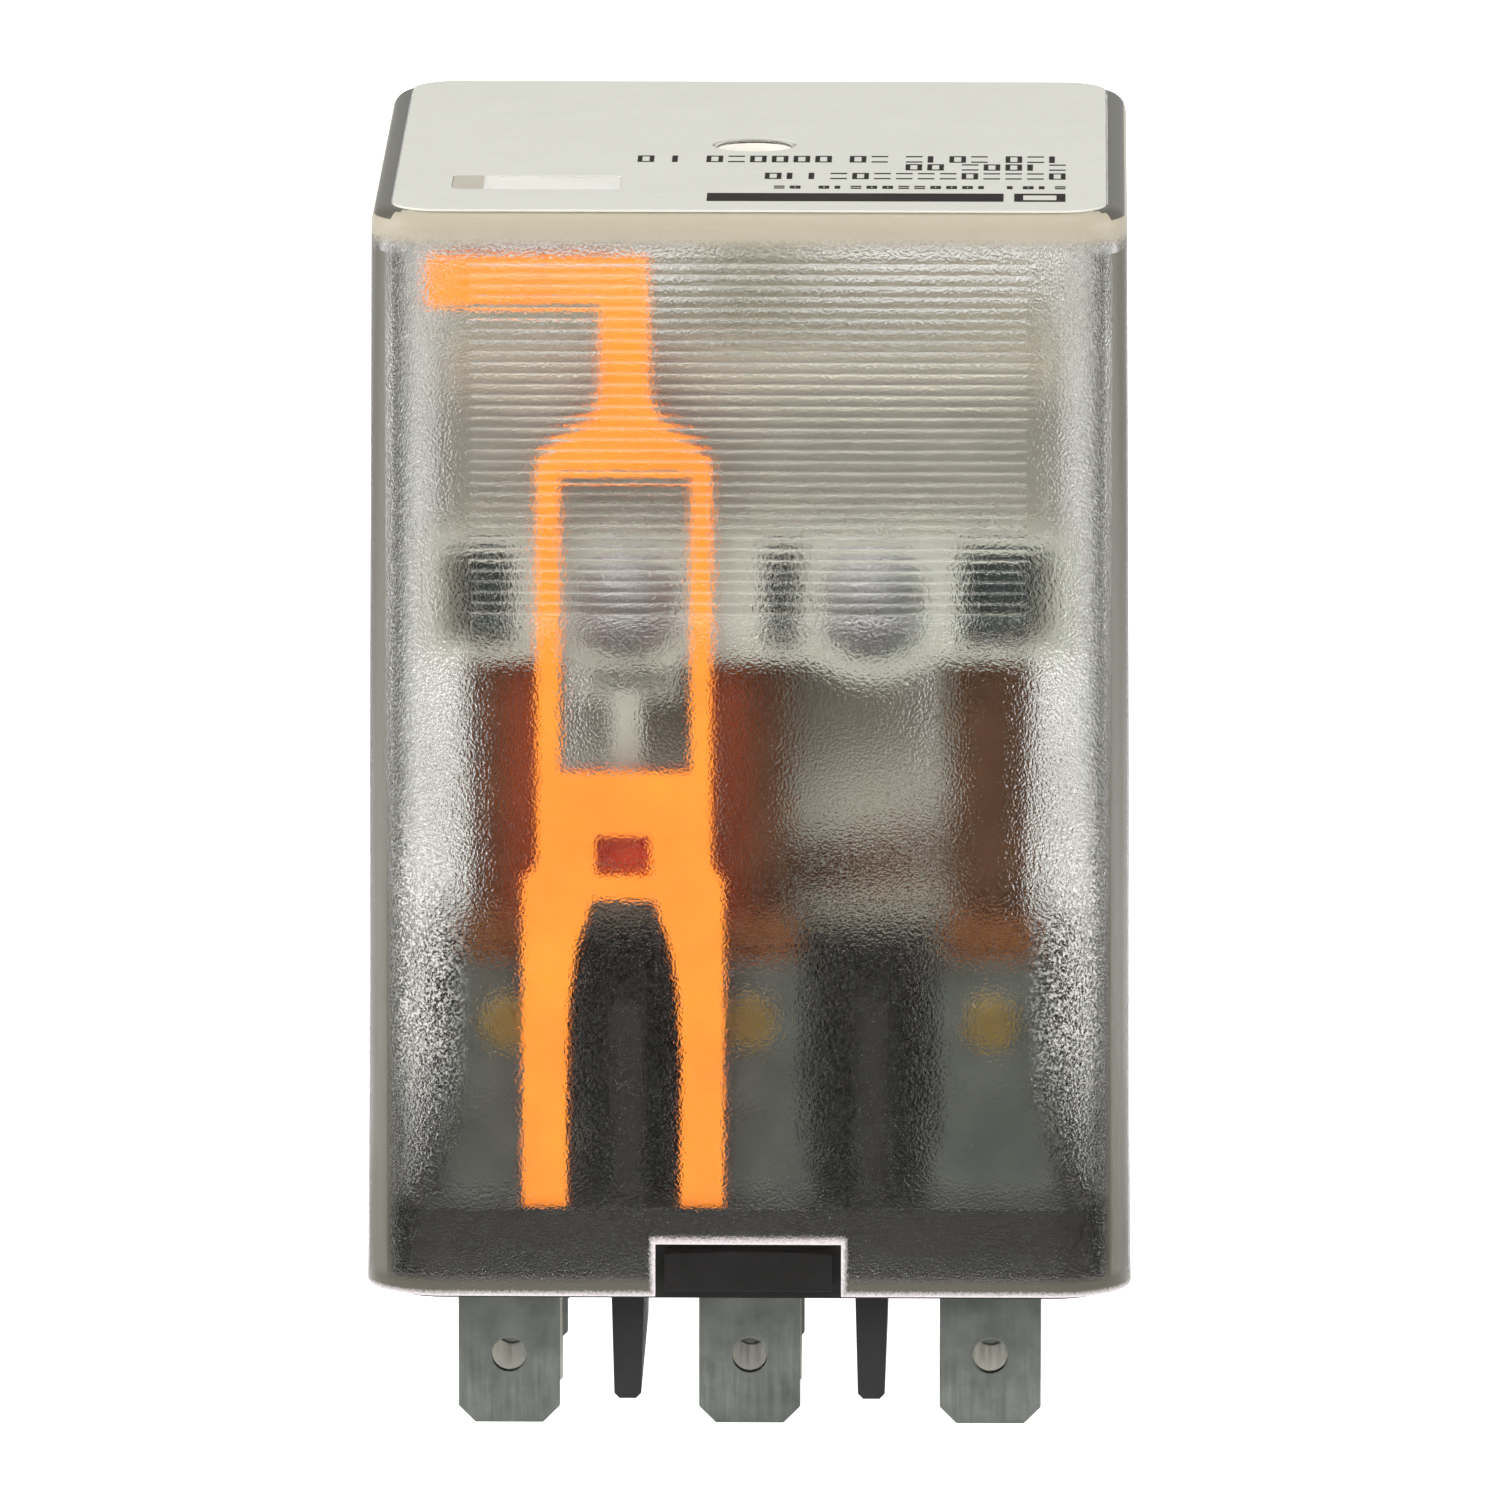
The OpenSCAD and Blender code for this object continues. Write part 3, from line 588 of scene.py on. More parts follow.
def build_cover():
    """One closed skin: out over the top, down the bore and its boss, and back down the inside."""
    rings, notch_row = cover_rings()
    count = len(rings[0][0])
    last = len(rings) - 1
    points = [p for ring, _ in rings for p in ring]
    faces, slots = [], []

    def notched(ring, column):
        """Whether the quad above this ring and right of this column lies in the notch."""
        a, b = rings[ring][0][column], rings[ring][0][(column + 1) % count]
        across = max(abs(a[0]), abs(b[0])) <= NOTCH_HALF + TOLERANCE
        low = ring < notch_row or ring >= last - 1
        return across and low and min(abs(a[1]), abs(b[1])) > FACE_Y

    for ring in range(last + 1):
        above = (ring + 1) % (last + 1)
        for column in range(count):
            nxt = (column + 1) % count
            if notched(ring, column):
                continue
            faces.append([
                ring * count + column, ring * count + nxt, above * count + nxt, above * count + column
            ])
            slots.append(skin_slot(rings, ring, above, column, nxt) if ring != last else POLISHED)
    # Walls of the notch: the inner skin's notch row is one ring before the last
    inner_row = last - 1
    for column in range(count):
        nxt = (column + 1) % count
        if not notched(0, column):
            continue
        faces.append([
            notch_row * count + column, notch_row * count + nxt,
            inner_row * count + nxt, inner_row * count + column,
        ])
        slots.append(POLISHED)
        for edge, other in ((column, (column - 1) % count), (nxt, nxt)):
            if notched(0, other):
                continue
            outer = [r * count + edge for r in range(notch_row + 1)]
            faces.append([*outer, inner_row * count + edge, last * count + edge])
            slots.append(POLISHED)
    return mesh_from("cover_shell", points, faces, slots)


def near_edge(g):
    """1 along the rim and round the notch, falling to 0 over the distances in EDGE_GLOW."""
    x, y, z = g.axes()
    from_rim = g.math("SUBTRACT", z, RIM_Z * MM)
    beside = g.math("SUBTRACT", g.math("ABSOLUTE", x), NOTCH_HALF * MM)
    above = g.math("SUBTRACT", z, NOTCH_TOP * MM)
    off_face = g.math("LESS_THAN", g.math("ABSOLUTE", y), FACE_Y * MM)
    from_notch = g.math("ADD", g.math("MAXIMUM", beside, above), off_face)
    near = g.wobbled(g.math("MINIMUM", from_rim, from_notch), MOULD_GRAIN, 0.25)
    return g.fade(near, EDGE_GLOW, 1.0, 0.0)


def on_flat_wall(g):
    """1 on the cover's flat walls, falling to 0 at the rounded upright corners and at the rim."""
    x, y, z = g.axes()
    across = g.math("SUBTRACT", g.math("ABSOLUTE", x), CORNER_BAND[0] * MM)
    along = g.math("SUBTRACT", g.math("ABSOLUTE", y), CORNER_BAND[1] * MM)
    inside = g.fade(g.math("MINIMUM", across, along), (0, CORNER_FADE), 1.0, 0.0)
    return g.math("MULTIPLY", inside, g.fade(z, GRAIN_START_Z))


def dark_corner(g):
    """1 in a narrow upright band at each inner corner, where shade is painted dark on the thick plastic."""
    x, y = g.axes()[:2]
    across = g.fade(g.wobbled(g.math("ABSOLUTE", x), WAVES, 0.8), DARK_BAND_X)
    return g.math("MULTIPLY", across, g.fade(g.math("ABSOLUTE", y), DARK_BAND_Y))


def pebbled(g, share):
    """Normal of the pebbled grain on the outside, faded by the share."""
    coarse = g.noise(FROST_SCALE, 1, 0.5)
    fine = g.noise(2.1 * FROST_SCALE, 1, 0.5)
    height = g.math("ADD", coarse, g.math("MULTIPLY", fine, 0.35))
    return g.bump(g.math("MULTIPLY", height, share), FROST_DEPTH, 1.0)


def rib_crests(g):
    """1 along the crest of each rib of the front panel."""
    x, y, z = g.axes()
    step = g.math("DIVIDE", g.math("SUBTRACT", z, RIB_Z[0] * MM), RIB_PITCH * MM)
    offset = g.math("ABSOLUTE", g.math("SUBTRACT", step, g.math("ROUND", step)))
    high = g.math("GREATER_THAN", z, (RIB_Z[0] - RIB_WIDTH) * MM)
    across = g.math("LESS_THAN", g.math("ABSOLUTE", x), RIB_HALF * MM)
    front = g.math("LESS_THAN", y, -FACE_Y * MM)
    panel = g.math("MULTIPLY", g.math("MULTIPLY", high, across), front)
    return g.math("MULTIPLY", g.remap(offset, 0.07, 0.17, 1.0, 0.0), panel)


def glinting(g, glass):
    """The clear plastic with painted glints, strongest beside the corners, and painted highlights along the
    rib crests.
    """
    x, y, z = g.axes()
    across = g.between(g.math("ABSOLUTE", x), *GLINT_X)
    upward = g.math("ADD", g.between(z, *GLINT_LOW_Z), g.between(z, *GLINT_HIGH_Z, HIGH_GLINTS))
    on_face = g.fade(g.math("ABSOLUTE", y), GLINT_Y)
    zone = g.math("MULTIPLY", g.math("MULTIPLY", across, upward), on_face)
    strength = g.math("MAXIMUM", g.math("MULTIPLY", zone, ZONE_GLINTS), BASE_GLINTS)
    # Painted glints in specks, and painted highlights on the rib crests
    glints = g.remap(g.noise(1.15 * FROST_SCALE, 2, 0.6), 0.46, 0.64, 0.0, 1.0)
    crests = g.math("MULTIPLY", rib_crests(g), CREST_SHARE)
    share = g.math("MAXIMUM", g.math("MULTIPLY", glints, strength), crests)
    return g.mix_shaders(share, glass, g.shader(Base_Color=(0.66, 0.65, 0.6), Roughness=0.4))


def clear_plastic(g, roughness, normal, tone=CLEAR_TINT):
    """Shader of the cover's clear plastic, with a slight warm tint."""
    return g.shader(
        Base_Color=tone, Roughness=roughness, Normal=normal, Transmission_Weight=1.0, IOR=CLEAR_IOR
    )


def painted_rim_glow(g, body):
    """The shader given, with a painted pinkish-white glow on the cover's rim and the notch's edge."""
    rim_glow_shader = g.shader(
        Base_Color=(0.62, 0.57, 0.58), Roughness=0.5,
        Subsurface_Weight=0.6, Subsurface_Radius=(0.001, 0.0009, 0.0009),
    )
    # Painted light: the pinkish-white glow along the rim and the notch's edge
    return g.mix_shaders(near_edge(g), body, rim_glow_shader)


def polished_plastic(name):
    """The cover's inside and top: clear, with painted shade in a dark band at each upright corner."""
    g = Graph(name)
    tone = g.mix(dark_corner(g), CLEAR_TINT, (0.1, 0.1, 0.09))
    glass = clear_plastic(g, 0.03, g.bump(g.noise(900, 2, 0.5), 0.000003, 0.4), tone)
    return let_lamps_through(g, painted_rim_glow(g, glass))


def frosted_plastic(name):
    """The cover's outer walls: a pebbled grain that scatters what is behind, and beige-grey corners of
    painted shade.
    """
    g = Graph(name)
    flat = on_flat_wall(g)
    glass = glinting(g, clear_plastic(g, FROSTED_ROUGHNESS, pebbled(g, flat)))
    # Painted shade: beige-grey on the rounded upright corners
    painted_corner_shade = g.shader(Base_Color=(0.09, 0.083, 0.063), Roughness=0.3, Specular_IOR_Level=0.25)
    corner = g.mix_shaders(g.remap(flat, 0.0, 1.0, CORNER_SHARE, 0.0), glass, painted_corner_shade)
    return let_lamps_through(g, painted_rim_glow(g, corner))


def let_lamps_through(g, body):
    """Shadow and diffuse rays pass straight through, so the inside is lit as through clear plastic."""
    clear = g.node("ShaderNodeBsdfTransparent", {"Color": (0.93, 0.925, 0.9, 1)})
    light = g.node("ShaderNodeLightPath")
    passes = g.math("MAXIMUM", light.outputs["Is Shadow Ray"], light.outputs["Is Diffuse Ray"])
    return g.finish(g.mix_shaders(passes, body, clear))


def thick_edge(name, dark, light, share, fade=True):
    """A thick edge of the clear plastic: cream along the front, smoky along the sides, milky in the boss."""
    g = Graph(name)
    z = g.axes()[2]
    wavy = g.math("ADD", z, g.math("MULTIPLY", g.noise(600, 2), 0.3 * MM))
    milky = g.shader(
        Base_Color=g.ramp(g.fade(wavy, EDGE_TONES_Z), (0.1, dark), (0.7, light)), Roughness=0.35,
        Specular_IOR_Level=0.3, Subsurface_Weight=0.4, Subsurface_Radius=(0.001, 0.0009, 0.0007),
    )
    glass = clear_plastic(g, FROSTED_ROUGHNESS, pebbled(g, on_flat_wall(g)))
    if fade:
        share = g.fade(g.wobbled(z, WAVES, 0.6), CREAM_FADE, 0.0, share)
    return let_lamps_through(g, g.mix_shaders(share, glass, milky))


cover = smooth(build_cover(), 50)
for finish in (
    polished_plastic("cover_polished"),
    frosted_plastic("cover_frosted"),
    thick_edge("cover_cream", (0.31, 0.28, 0.225), (0.41, 0.365, 0.28), 0.88),
    thick_edge("cover_smoky", (0.05, 0.048, 0.036), (0.075, 0.072, 0.055), 1.0),
    thick_edge("cover_boss", (0.8, 0.77, 0.68), (0.85, 0.82, 0.74), 0.85, fade=False),
):
    cover.data.materials.append(finish)
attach(cover, "housing")
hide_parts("cover")

# ---------------------------------------------------------------- materials of the other pieces


def spring_bronze():
    """Dark bronze, with painted light and shade: a painted red glow beside the lever, and painted slate-grey
    shade towards the carrier.
    """
    g = Graph("phosphor_bronze")
    x, _, z = g.axes()
    stain = g.noise(STAINS, 4, 0.6)
    brown = g.ramp(stain, (0.32, (0.09, 0.042, 0.02)), (0.65, (0.18, 0.085, 0.042)))
    slate = g.ramp(stain, (0.32, (0.035, 0.05, 0.05)), (0.65, (0.07, 0.09, 0.09)))
    wavy = g.math("ADD", z, g.math("MULTIPLY", stain, MM))
    # Painted shade: slate grey towards the carrier
    tone = g.mix(g.fade(wavy, CARRIER_SHADE_Z), brown, slate)
    from_middle = g.math("ABSOLUTE", g.math("SUBTRACT", x, LEVER_X * MM))
    from_lever = g.math("SUBTRACT", from_middle, LEVER_HALF * MM)
    near_lever = g.fade(from_lever, LEVER_GLOW_REACH, 0.75, 0.0)
    below_carrier = g.fade(z, LEVER_GLOW_TOP, 1.0, 0.0)
    # Painted light: the lever's red glow on the springs beside it, below the carrier
    tone = g.mix(g.math("MULTIPLY", near_lever, below_carrier), tone, (0.6, 0.1, 0.02))
    lines = g.noise(SCRATCHES, 4, 0.65, stretch=(1, 1, 0.06))
    shader = g.shader(
        Base_Color=tone,
        Roughness=g.remap(lines, 0.35, 0.7, 0.42, 0.62),
        Normal=g.bump(lines, METAL_DEPTH, 0.8),
        Metallic=1.0,
    )
    return g.finish(shader)


def pale_tape():
    """Pale tape round the coil, with painted shade that makes it darker towards its top."""
    g = Graph("pale_tape")
    stain = g.noise(FLOW_MARKS, 3, 0.55)
    # Painted shade: the tape darkens towards its top, under the carrier
    wavy = g.math("ADD", g.axes()[2], g.math("MULTIPLY", stain, 2 * MM))
    pale = g.ramp(stain, (0.3, (0.36, 0.35, 0.31)), (0.68, (0.43, 0.42, 0.37)))
    fine = g.noise(MOULD_GRAIN, 4, 0.6)
    shader = g.shader(
        Base_Color=g.mix(g.fade(wavy, TAPE_SHADE_Z), pale, (0.12, 0.105, 0.08)),
        Roughness=g.remap(fine, 0.3, 0.7, 0.48, 0.63),
        Normal=g.bump(fine, PLASTIC_DEPTH, 0.6),
    )
    return g.finish(shader)


def milky_film():
    """Thin milky film in the label's window: the flag behind it shows through."""
    g = Graph("window_film")
    tone = g.ramp(g.noise(FLOW_MARKS, 3, 0.55), (0.3, (0.8, 0.8, 0.76)), (0.68, (0.86, 0.86, 0.82)))
    milky = g.shader(Base_Color=tone, Roughness=0.5, Specular_IOR_Level=0.2)
    return g.finish(g.mix_shaders(0.7, milky, g.node("ShaderNodeBsdfTransparent")))


orange = lever_orange()
white = plastic("white_nylon", (0.5, 0.52, 0.48), (0.44, 0.46, 0.42), 0.45, subsurface=0.1)
carrier_white = plastic("carrier_nylon", (0.38, 0.39, 0.35), (0.33, 0.34, 0.305), 0.45, subsurface=0.1)
black = plastic("black_phenolic", (0.011, 0.01, 0.0095), (0.006, 0.0055, 0.005), 0.42)
bobbin_mat = plastic("bobbin_nylon", (0.34, 0.32, 0.27), (0.29, 0.27, 0.22), 0.5)
tinned = metal("tinned_brass", (0.235, 0.25, 0.23), (0.15, 0.16, 0.145), 0.42)
# Painted light: a brighter copy of the tinned brass, for the normally open blades
painted_light_tin = metal("tinned_brass_painted_light", (0.78, 0.76, 0.68), (0.6, 0.59, 0.53), 0.4)
steel = metal("zinc_plated_iron", (0.62, 0.62, 0.58), (0.5, 0.5, 0.47), 0.5)
rivet_mat = metal("dull_rivet", (0.38, 0.38, 0.38), (0.28, 0.28, 0.29), 0.5, brush=(1, 1, 1))
gilt = metal("gilt_contact", (0.55, 0.38, 0.13), (0.4, 0.27, 0.09), 0.35, brush=(1, 1, 1))
bronze = spring_bronze()
copper = metal("bare_copper", (0.55, 0.22, 0.08), (0.38, 0.14, 0.05), 0.35, brush=(1, 1, 1))
wire_mat = metal("enamelled_wire", (0.16, 0.06, 0.03), (0.1, 0.035, 0.018), 0.3, brush=(1, 1, 1))
# Painted light: the armature's plated iron is lighter towards its top
armature_steel = metal(
    "plated_iron_painted_light", (0.46, 0.445, 0.39), (0.37, 0.355, 0.31), 0.5,
    upper=(ARMATURE_PAINTED_LIGHT_Z, (0.8, 0.74, 0.62)),
)
tape_mat = pale_tape()
label_mat = plastic(
    "label_film", (0.53, 0.53, 0.475), (0.51, 0.51, 0.455), 0.5, grain=2500, depth=0.000004, specular=0.2
)
ink = plastic("black_ink", (0.016, 0.013, 0.01), (0.01, 0.008, 0.006), 0.7, specular=0.15)
beige = plastic("beige_strip", (0.42, 0.39, 0.32), (0.38, 0.35, 0.285), 0.5)
film = milky_film()
spring_mat = metal("spring_wire", (0.62, 0.62, 0.6), (0.45, 0.45, 0.44), 0.25, brush=(1, 1, 1))


# ---------------------------------------------------------------- coil, braids, leads and return spring


def smooth_path(points, steps):
    """Catmull-Rom curve through the points."""
    pts = [Vector(p) for p in points]
    pts = [2 * pts[0] - pts[1], *pts, 2 * pts[-1] - pts[-2]]
    path = []
    for k in range(1, len(pts) - 2):
        a, b, c, d = pts[k - 1:k + 3]
        for j in range(steps):
            t = j / steps
            path.append(0.5 * (
                2 * b + (c - a) * t + (2 * a - 5 * b + 4 * c - d) * t * t
                + (3 * b - 3 * c + d - a) * t ** 3
            ))
    path.append(pts[-2])
    return path


def stranded(path, radius, strands, turns):
    """A core strand with others laid round it in a long twist."""
    strand_r = radius / 3.05  # three strands lie across the braid, just inside its radius
    parts = [tube(path, strand_r, 6)]
    up = Vector((1, 0, 0))
    frames = []
    for k, p in enumerate(path):
        along = (path[min(k + 1, len(path) - 1)] - path[max(k - 1, 0)]).normalized()
        side = along.cross(up).normalized()
        frames.append((p, side, side.cross(along).normalized()))
    for n in range(strands):
        laid = []
        for k, (p, side, cross) in enumerate(frames):
            t = 2 * math.pi * (n / strands + turns * k / (len(frames) - 1))
            laid.append(p + 2 * strand_r * (math.cos(t) * side + math.sin(t) * cross))
        parts.append(tube(laid, strand_r, 6))
    return merged(parts)


# The middle braid: from its clip, over a loop behind the spring and down to the common terminal
BRAID_ROUTE = [
    (0, -11.64, 16.4), (0, -11.35, 16.4), (0, -11.05, 16.6), (0, -10.85, 17), (0, -10.7, 17.5),
    (0, -10.4, 17.85), (0, -10, 17.85), (0, -9.7, 17.5), (0, -9.6, 17), (0, -9.55, 16.4),
    (0, -9.3, 15.8), (0, -8.8, 15.5), (0, -8.1, 15.4), (0, -7.4, 15.4), (0, -6.7, 15.2),
    (0, -6.25, 14.7), (0, -6.05, 14), (0, -5.95, 12), (0, -5.6, 10), (0, -4.6, 8.4),
    (0, -3, 7.5), (0, -1, 7.1), (0, 0.2, 7), (0, 1.31, 7),
]


def braid(i):
    """One braid: its bend lies between the terminal's end and the clip on the spring."""
    shift = Vector(((i - 2) * PITCH, 0, 0))
    path = [p + shift for p in smooth_path(BRAID_ROUTE, 4)]
    obj = smooth(mesh_from(f"braid_{i}", *stranded(path, BRAID_R, 6, 7)), 60)
    obj.data.materials.append(copper)
    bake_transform(obj)
    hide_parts(f"pigtail_braid_{i}")


def winding():
    """The coil's outer layer as wire turns, with a plain bore and flat ends."""
    low, high = (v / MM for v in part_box("coil_winding"))
    centre = ((low.x + high.x) / 2, (low.y + high.y) / 2)
    outer, wire_r = (high.x - low.x) / 2, WINDING_TURN / 2
    count = int((high.z - low.z) / WINDING_TURN)
    rise = (high.z - low.z) / count
    profile = [(CORE_R, high.z), (CORE_R, low.z)]
    for k in range(count):
        for angle in (0, 45, 90, 135):
            t = math.radians(angle)
            z = low.z + rise * (k + 0.5 - 0.5 * math.cos(t))
            profile.append((outer - wire_r + wire_r * math.sin(t), z))
    profile.append((outer - wire_r, high.z))
    obj = smooth(mesh_from("winding_wires", *lathe(profile, centre)), 60)
    obj.data.materials.append(wire_mat)
    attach(obj, "housing")
    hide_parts("coil_winding")


def return_coil():
    """Tension spring of round wire: close coils, and a hook through each hole."""
    low, high = (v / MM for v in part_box("return_spring"))
    x, y = (low.x + high.x) / 2, (low.y + high.y) / 2
    coil_r = (high.x - low.x) / 2 - SPRING_WIRE
    first, last = low.z + SPRING_END, high.z - SPRING_END
    turns = int((last - first) / (2 * SPRING_WIRE + SPRING_GAP))
    path = []
    for k in range(HOOK_STEPS):
        t = math.radians(HOOK_TURN * (k + 1 - HOOK_STEPS))
        path.append((x, y + HOOK_R * math.sin(t), low.z - HOOK_OVER + HOOK_R * (1 - math.cos(t))))
    steps = 20
    for k in range(turns * steps + 1):
        t = 2 * math.pi * k / steps
        z = first + (last - first) * k / (turns * steps)
        path.append((x + coil_r * math.cos(t), y + coil_r * math.sin(t), z))
    for k in range(HOOK_STEPS):
        t = math.radians(HOOK_TURN * k)
        path.append((x, y + HOOK_R * math.sin(t), high.z + HOOK_OVER - HOOK_R * (1 + math.cos(t))))
    obj = smooth(mesh_from("return_coil", *tube(path, SPRING_WIRE, 8)), 60)
    obj.data.materials.append(spring_mat)
    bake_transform(obj)
    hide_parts("return_spring")


def coil_leads():
    """Ends of the winding's wire, each soldered to its terminal."""
    low, high = (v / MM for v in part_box("coil_leads"))
    z, wire = (low.z + high.z) / 2, (high.z - low.z) / 2
    near_y, far_y = LEAD_START_Y, high.y - LEAD_END_INSET
    blob = [(r, z + h) for r, h in SOLDER_BLOB]
    parts = []
    for side in (-1, 1):
        near_x, bend_x, far_x = (side * x for x in LEAD_X)
        route = [(near_x, near_y, z), (bend_x, near_y + 0.2, z), (far_x, far_y, z)]
        parts.append(tube(smooth_path(route, 6), wire * 0.9, 10))
        parts.append(lathe(blob, (far_x, far_y), 16))
    obj = smooth(mesh_from("lead_wires", *merged(parts)), 60)
    obj.data.materials.append(wire_mat)
    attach(obj, "housing")
    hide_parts("coil_leads")


# ---------------------------------------------------------------- label print


def slab(low, high, z, thick):
    """A thin box on the label."""
    (x0, y0), (x1, y1) = low, high
    verts = [(x, y, h) for h in (z, z + thick) for x, y in ((x0, y0), (x1, y0), (x1, y1), (x0, y1))]
    faces = [[3, 2, 1, 0], [4, 5, 6, 7]] + [[k, (k + 1) % 4, 4 + (k + 1) % 4, 4 + k] for k in range(4)]
    return verts, faces


def frame_of(low, high, width, z, thick):
    """A thin rectangular frame on the label."""
    (x0, y0), (x1, y1) = low, high
    return merged([
        slab((x0, y0), (x1, y0 + width), z, thick),
        slab((x0, y1 - width), (x1, y1), z, thick),
        slab((x0, y0 + width), (x0 + width, y1 - width), z, thick),
        slab((x1 - width, y0 + width), (x1, y1 - width), z, thick),
    ])


def placeholder(kind, left, right, low, high, z):
    """One generic mark in a row of print: a hollow box, a pair of strokes or a solid bar."""
    if kind == "box":
        return frame_of((left, low), (right, high), INK_STROKE, z, INK_T)
    if kind == "pair":
        return merged([
            slab((left, low), (right, low + INK_STROKE * 1.3), z, INK_T),
            slab((left, high - INK_STROKE * 1.3), (right, high), z, INK_T),
        ])
    return slab((left, low), (left + INK_STROKE * 1.2, high), z, INK_T)


def printed(name, part, mat):
    """A thin piece of the label's print, on the housing."""
    obj = mesh_from(name, *part)
    obj.data.materials.append(mat)
    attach(obj, "housing")


def label_print():
    """Generic print: a bar, a small box and rows of placeholder marks, with no lettering."""
    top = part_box("top_label")[1].z / MM
    (bar_left, bar_low), (bar_right, bar_high) = PRINT_BAR
    box = frame_of((PRINT_BOX_LEFT, bar_low), (PRINT_RIGHT, bar_high), PRINT_BOX_LINE, top, INK_T)
    parts = [slab((bar_left, bar_low), (bar_right, bar_high), top, INK_T), box]
    for low, high, left in PRINT_ROWS:
        x = PRINT_RIGHT
        wide = MARK_WIDTH if high - low > 1 else SMALL_MARK_WIDTH
        while x > left:
            kind = rng.choice(("box", "box", "pair", "bar"))
            parts.append(placeholder(kind, x - wide, x, low, high, top))
            x -= wide + MARK_GAP + rng.choice((0, 0, 0, 0, WORD_GAP))
    printed("label_ink", merged(parts), ink)
    (left, front), (right, back) = WINDOW
    split, sunk = left + WINDOW_STRIP, top - WINDOW_SINK
    printed("window_strip", slab((left, front), (split, back), sunk, STRIP_T), beige)
    printed("window_pane", slab((split, front), (right, back), sunk, PANE_T), film)
    printed("label_frame", frame_of(*PRESSED_FRAME, PRESSED_LINE, top, PRESSED_T), label_mat)


label_print()
refined("label_film", "top_label", "housing", label_mat, 0.03, slot="label_print")
refined("base_moulding", "base", "housing", black, 0.1, slot="black_base")
refined("lever_moulding", "flag_lever", "flag", orange, 0.13, 3, slot="orange_plastic")
refined("plunger_moulding", "test_plunger", "plunger", white, 0.12, slot="white_plastic")
refined("carrier_moulding", "contact_carrier", "armature_set", carrier_white, 0.12, 3, slot="white_plastic")
refined("carrier_rivet_pair", "carrier_rivets", "armature_set", rivet_mat, 0.08, slot="steel_rivet")
refined("armature_plate", "armature", "armature_set", armature_steel, 0.15, 3, slot="plated_steel")
refined("yoke_plate", "yoke", "housing", steel, 0.15, 3, slot="plated_steel")
refined("core_pole", "core", "housing", steel, 0.1, slot="core_iron")
refined("shading_loop", "shading_ring", "housing", copper, 0.08, slot="bare_copper")
refined("bobbin_moulding", "bobbin", "housing", bobbin_mat, 0.15, slot="bobbin_plastic")
refined("tape_wrap", "coil_tape", "housing", tape_mat, 0.05, slot="coil_tape")
for side in "ab":
    refined(f"coil_blade_{side}", f"coil_terminal_{side}", "housing", tinned, 0.06, slot="tinned_blade")
for i in POLES:
    for kind in ("nc", "no", "com"):
        # Painted light: the normally open blades take the brighter copy of the tinned brass
        finish = painted_light_tin if kind == "no" else tinned
        refined(f"{kind}_blade_{i}", f"{kind}_terminal_{i}", "housing", finish, 0.06, slot="tinned_blade")
    refined(f"nc_point_{i}", f"nc_contact_{i}", "housing", gilt, 0.12, 3, slot="contact_metal")
    refined(f"no_point_{i}", f"no_contact_{i}", "housing", gilt, 0.12, 3, slot="contact_metal")
    refined(f"moving_point_{i}", f"moving_contact_{i}", "armature_set", gilt, 0.12, 3, slot="contact_metal")
    refined(f"leaf_{i}", f"moving_spring_{i}", "armature_set", bronze, 0.04, slot="spring_alloy")
    refined(f"clip_{i}", f"braid_clip_{i}", "armature_set", copper, 0.06, slot="bare_copper")
    braid(i)
winding()
return_coil()
coil_leads()

# ---------------------------------------------------------------- floor, light and camera

# Floor, in metres: the tones run from just in front of the relay to well behind it, and the floor is plain
# near the relay
FLOOR_Z = cad_box[0][2]
FLOOR_HALF = 3.0
FLOOR_DEPTH = (-0.02, 0.3)
FLOOR_CLEAR = (0.028, 0.045)
FLOOR_GLOW = 3.0
FLOOR_TONES = (
    (0.0, (0.01, 0.01, 0.01)), (0.22, (1, 1, 1)), (0.38, (0.9, 0.9, 0.9)),
    (0.46, (0.5, 0.5, 0.5)), (0.56, (0.28, 0.28, 0.28)), (0.66, (0.28, 0.28, 0.28)),
    (0.75, (0.42, 0.42, 0.42)),
)

# Camera: angles in degrees, the distance in metres, the lens and the sensor in mm
CAMERA_YAW = 0.894
CAMERA_PITCH = 11.2
CAMERA_DISTANCE = 1.0108
CAMERA_AIM = Vector((-0.212, 0.0, 22.76)) * MM
CAMERA_LENS = 507.3
CAMERA_SENSOR = 36

# Lights, in metres and watts: the aims are points low on the relay
BASE_AIM, GRAIN_AIM, RIB_AIM = (0, 0, 0.02), (0, 0, 0.03), (0, 0, 0.04)


def facing(obj, direction):
    obj.rotation_euler = Vector(direction).to_track_quat("-Z", "Y").to_euler()


def area_light(name, place, aim, size, power):
    light = bpy.data.lights.new(name, "AREA")
    light.shape = "RECTANGLE"
    light.size, light.size_y = size
    light.energy = power
    obj = bpy.data.objects.new(name, light)
    bpy.context.scene.collection.objects.link(obj)
    obj.location = place
    facing(obj, Vector(aim) - Vector(place))
    return obj


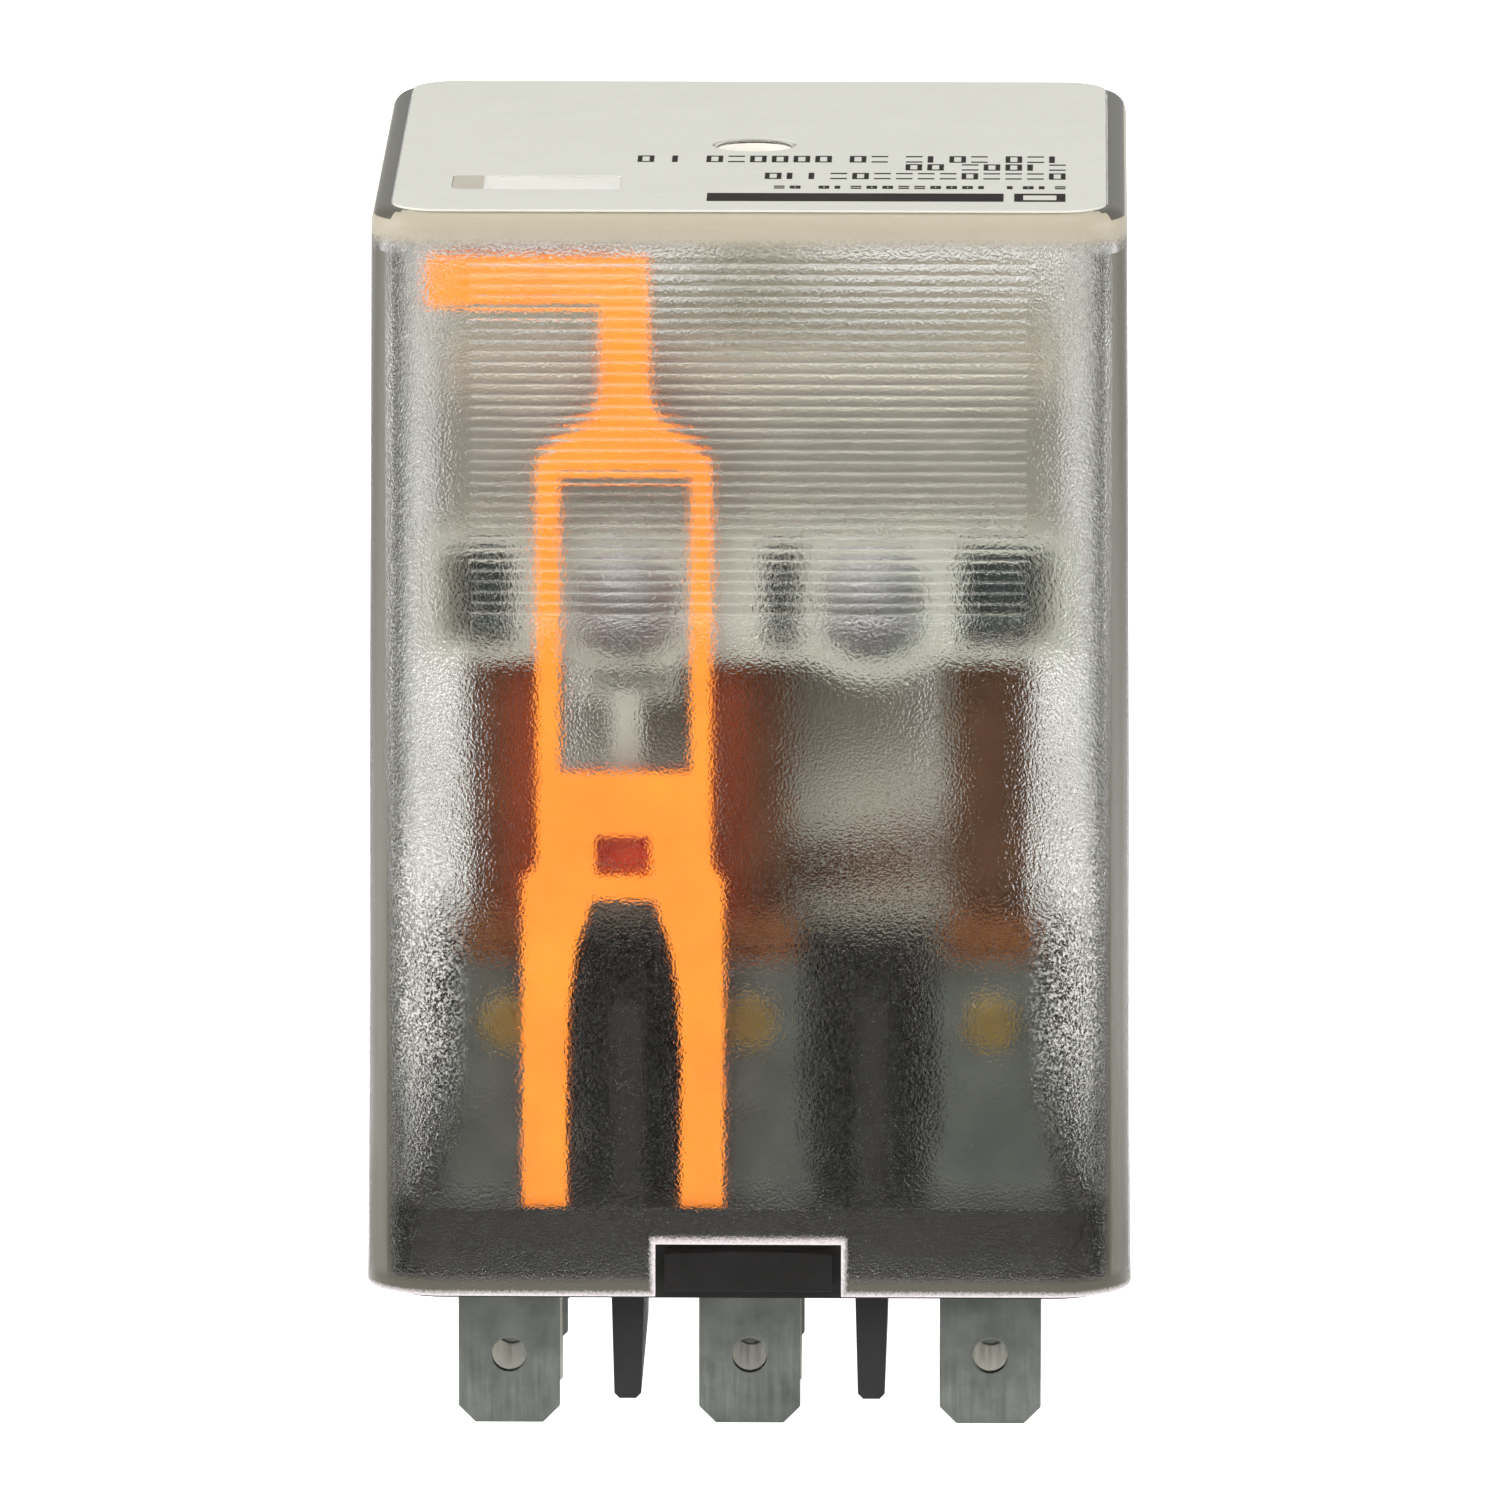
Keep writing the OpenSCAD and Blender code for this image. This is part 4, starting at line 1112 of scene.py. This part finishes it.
def build_floor():
    """Large floor, plain white to the camera and under the relay. To reflections and to rays through the
    cover it is darker in front and brighter, in patches, behind."""
    mesh = bpy.data.meshes.new("floor")
    corners = [(x * FLOOR_HALF, y * FLOOR_HALF, FLOOR_Z) for x, y in ((-1, -1), (1, -1), (1, 1), (-1, 1))]
    mesh.from_pydata(corners, [], [[0, 1, 2, 3]])
    floor = add_object("floor", mesh)
    g = Graph("pale_floor")
    light = g.node("ShaderNodeLightPath")
    plain = g.shader(
        Base_Color=g.ramp(g.noise(40, 2), (0.3, (0.86, 0.86, 0.86)), (0.7, (0.9, 0.9, 0.9))),
        Roughness=0.7,
        Emission_Color=(1, 1, 1, 1),
        Emission_Strength=g.remap(light.outputs["Is Camera Ray"], 0.0, 1.0, 0.5, 1.2),
    )
    place = g.node("ShaderNodeTexCoord").outputs["Object"]
    depth = g.ramp(g.remap(g.axes()[1], *FLOOR_DEPTH, 0.0, 1.0), *FLOOR_TONES)
    patches = g.remap(g.noise(42, 2), 0.4, 0.6, 0.45, 1.0)
    strength = g.math("MULTIPLY", g.math("MULTIPLY", depth, FLOOR_GLOW), patches)
    glow = g.node("ShaderNodeEmission", {"Color": (1, 1, 1, 1), "Strength": strength})
    reach = g.node("ShaderNodeVectorMath", {"Vector": place}, operation="LENGTH").outputs["Value"]
    far = g.remap(reach, *FLOOR_CLEAR, 0.0, 1.0)
    share = g.math("MULTIPLY", far, light.outputs["Is Glossy Ray"])
    floor.data.materials.append(g.finish(g.mix_shaders(share, plain, glow)))


def build_world():
    """White backdrop. As a light, it is dim at the front and bright above, behind and at the sides."""
    world = bpy.data.worlds.new("studio")
    bpy.context.scene.world = world
    world.use_nodes = True
    tree = world.node_tree
    tree.nodes.clear()

    def node(kind, **settings):
        n = tree.nodes.new(kind)
        for key, value in settings.items():
            setattr(n, key, value)
        return n

    coords = node("ShaderNodeTexCoord")
    axes = node("ShaderNodeSeparateXYZ")
    tree.links.new(coords.outputs["Generated"], axes.inputs[0])
    front = node("ShaderNodeMapRange", interpolation_type="SMOOTHSTEP")
    tree.links.new(axes.outputs["Y"], front.inputs["Value"])
    for key, value in (("From Min", -0.9), ("From Max", 0.1), ("To Min", 0.05), ("To Max", 0.6)):
        front.inputs[key].default_value = value
    strength = node("ShaderNodeMix", data_type="FLOAT")
    tree.links.new(node("ShaderNodeLightPath").outputs["Is Camera Ray"], strength.inputs[0])
    tree.links.new(front.outputs["Result"], strength.inputs[2])
    strength.inputs[3].default_value = 1.0
    light = node("ShaderNodeBackground")
    light.inputs["Color"].default_value = (1, 1, 1, 1)
    tree.links.new(strength.outputs[0], light.inputs["Strength"])
    out = node("ShaderNodeOutputWorld")
    tree.links.new(light.outputs[0], out.inputs["Surface"])


def build_camera():
    yaw, pitch = math.radians(CAMERA_YAW), math.radians(CAMERA_PITCH)
    back = Vector((
        math.sin(yaw) * math.cos(pitch), -math.cos(yaw) * math.cos(pitch), math.sin(pitch)
    ))
    data = bpy.data.cameras.new("camera")
    data.lens = CAMERA_LENS
    data.sensor_width = CAMERA_SENSOR
    data.clip_start, data.clip_end = 0.05, 20
    camera = bpy.data.objects.new("camera", data)
    bpy.context.scene.collection.objects.link(camera)
    camera.location = CAMERA_AIM + back * CAMERA_DISTANCE
    facing(camera, -back)
    bpy.context.scene.camera = camera


build_floor()
build_world()
for side, name in ((-1, "left_box"), (1, "right_box")):
    area_light(name, (side * 0.55, -0.05, 0.22), BASE_AIM, (0.4, 0.5), 1.6)
area_light("top_box", (0, 0.05, 0.7), BASE_AIM, (0.5, 0.5), 1.5)
front_box = area_light("front_box", (-0.15, -0.7, 0.35), BASE_AIM, (0.6, 0.4), 5)
front_box.visible_glossy = False
area_light("grain_strip", (0, -0.75, 0.38), GRAIN_AIM, (0.6, 0.15), 0.15)
area_light("rib_strip", (0, -0.35, 0.62), RIB_AIM, (0.7, 0.12), 0.6)
build_camera()
scene = bpy.context.scene
scene.view_settings.view_transform = "Standard"
scene.cycles.use_denoising = True
scene.cycles.max_bounces = 16
scene.cycles.transmission_bounces = 12
scene.cycles.transparent_max_bounces = 16
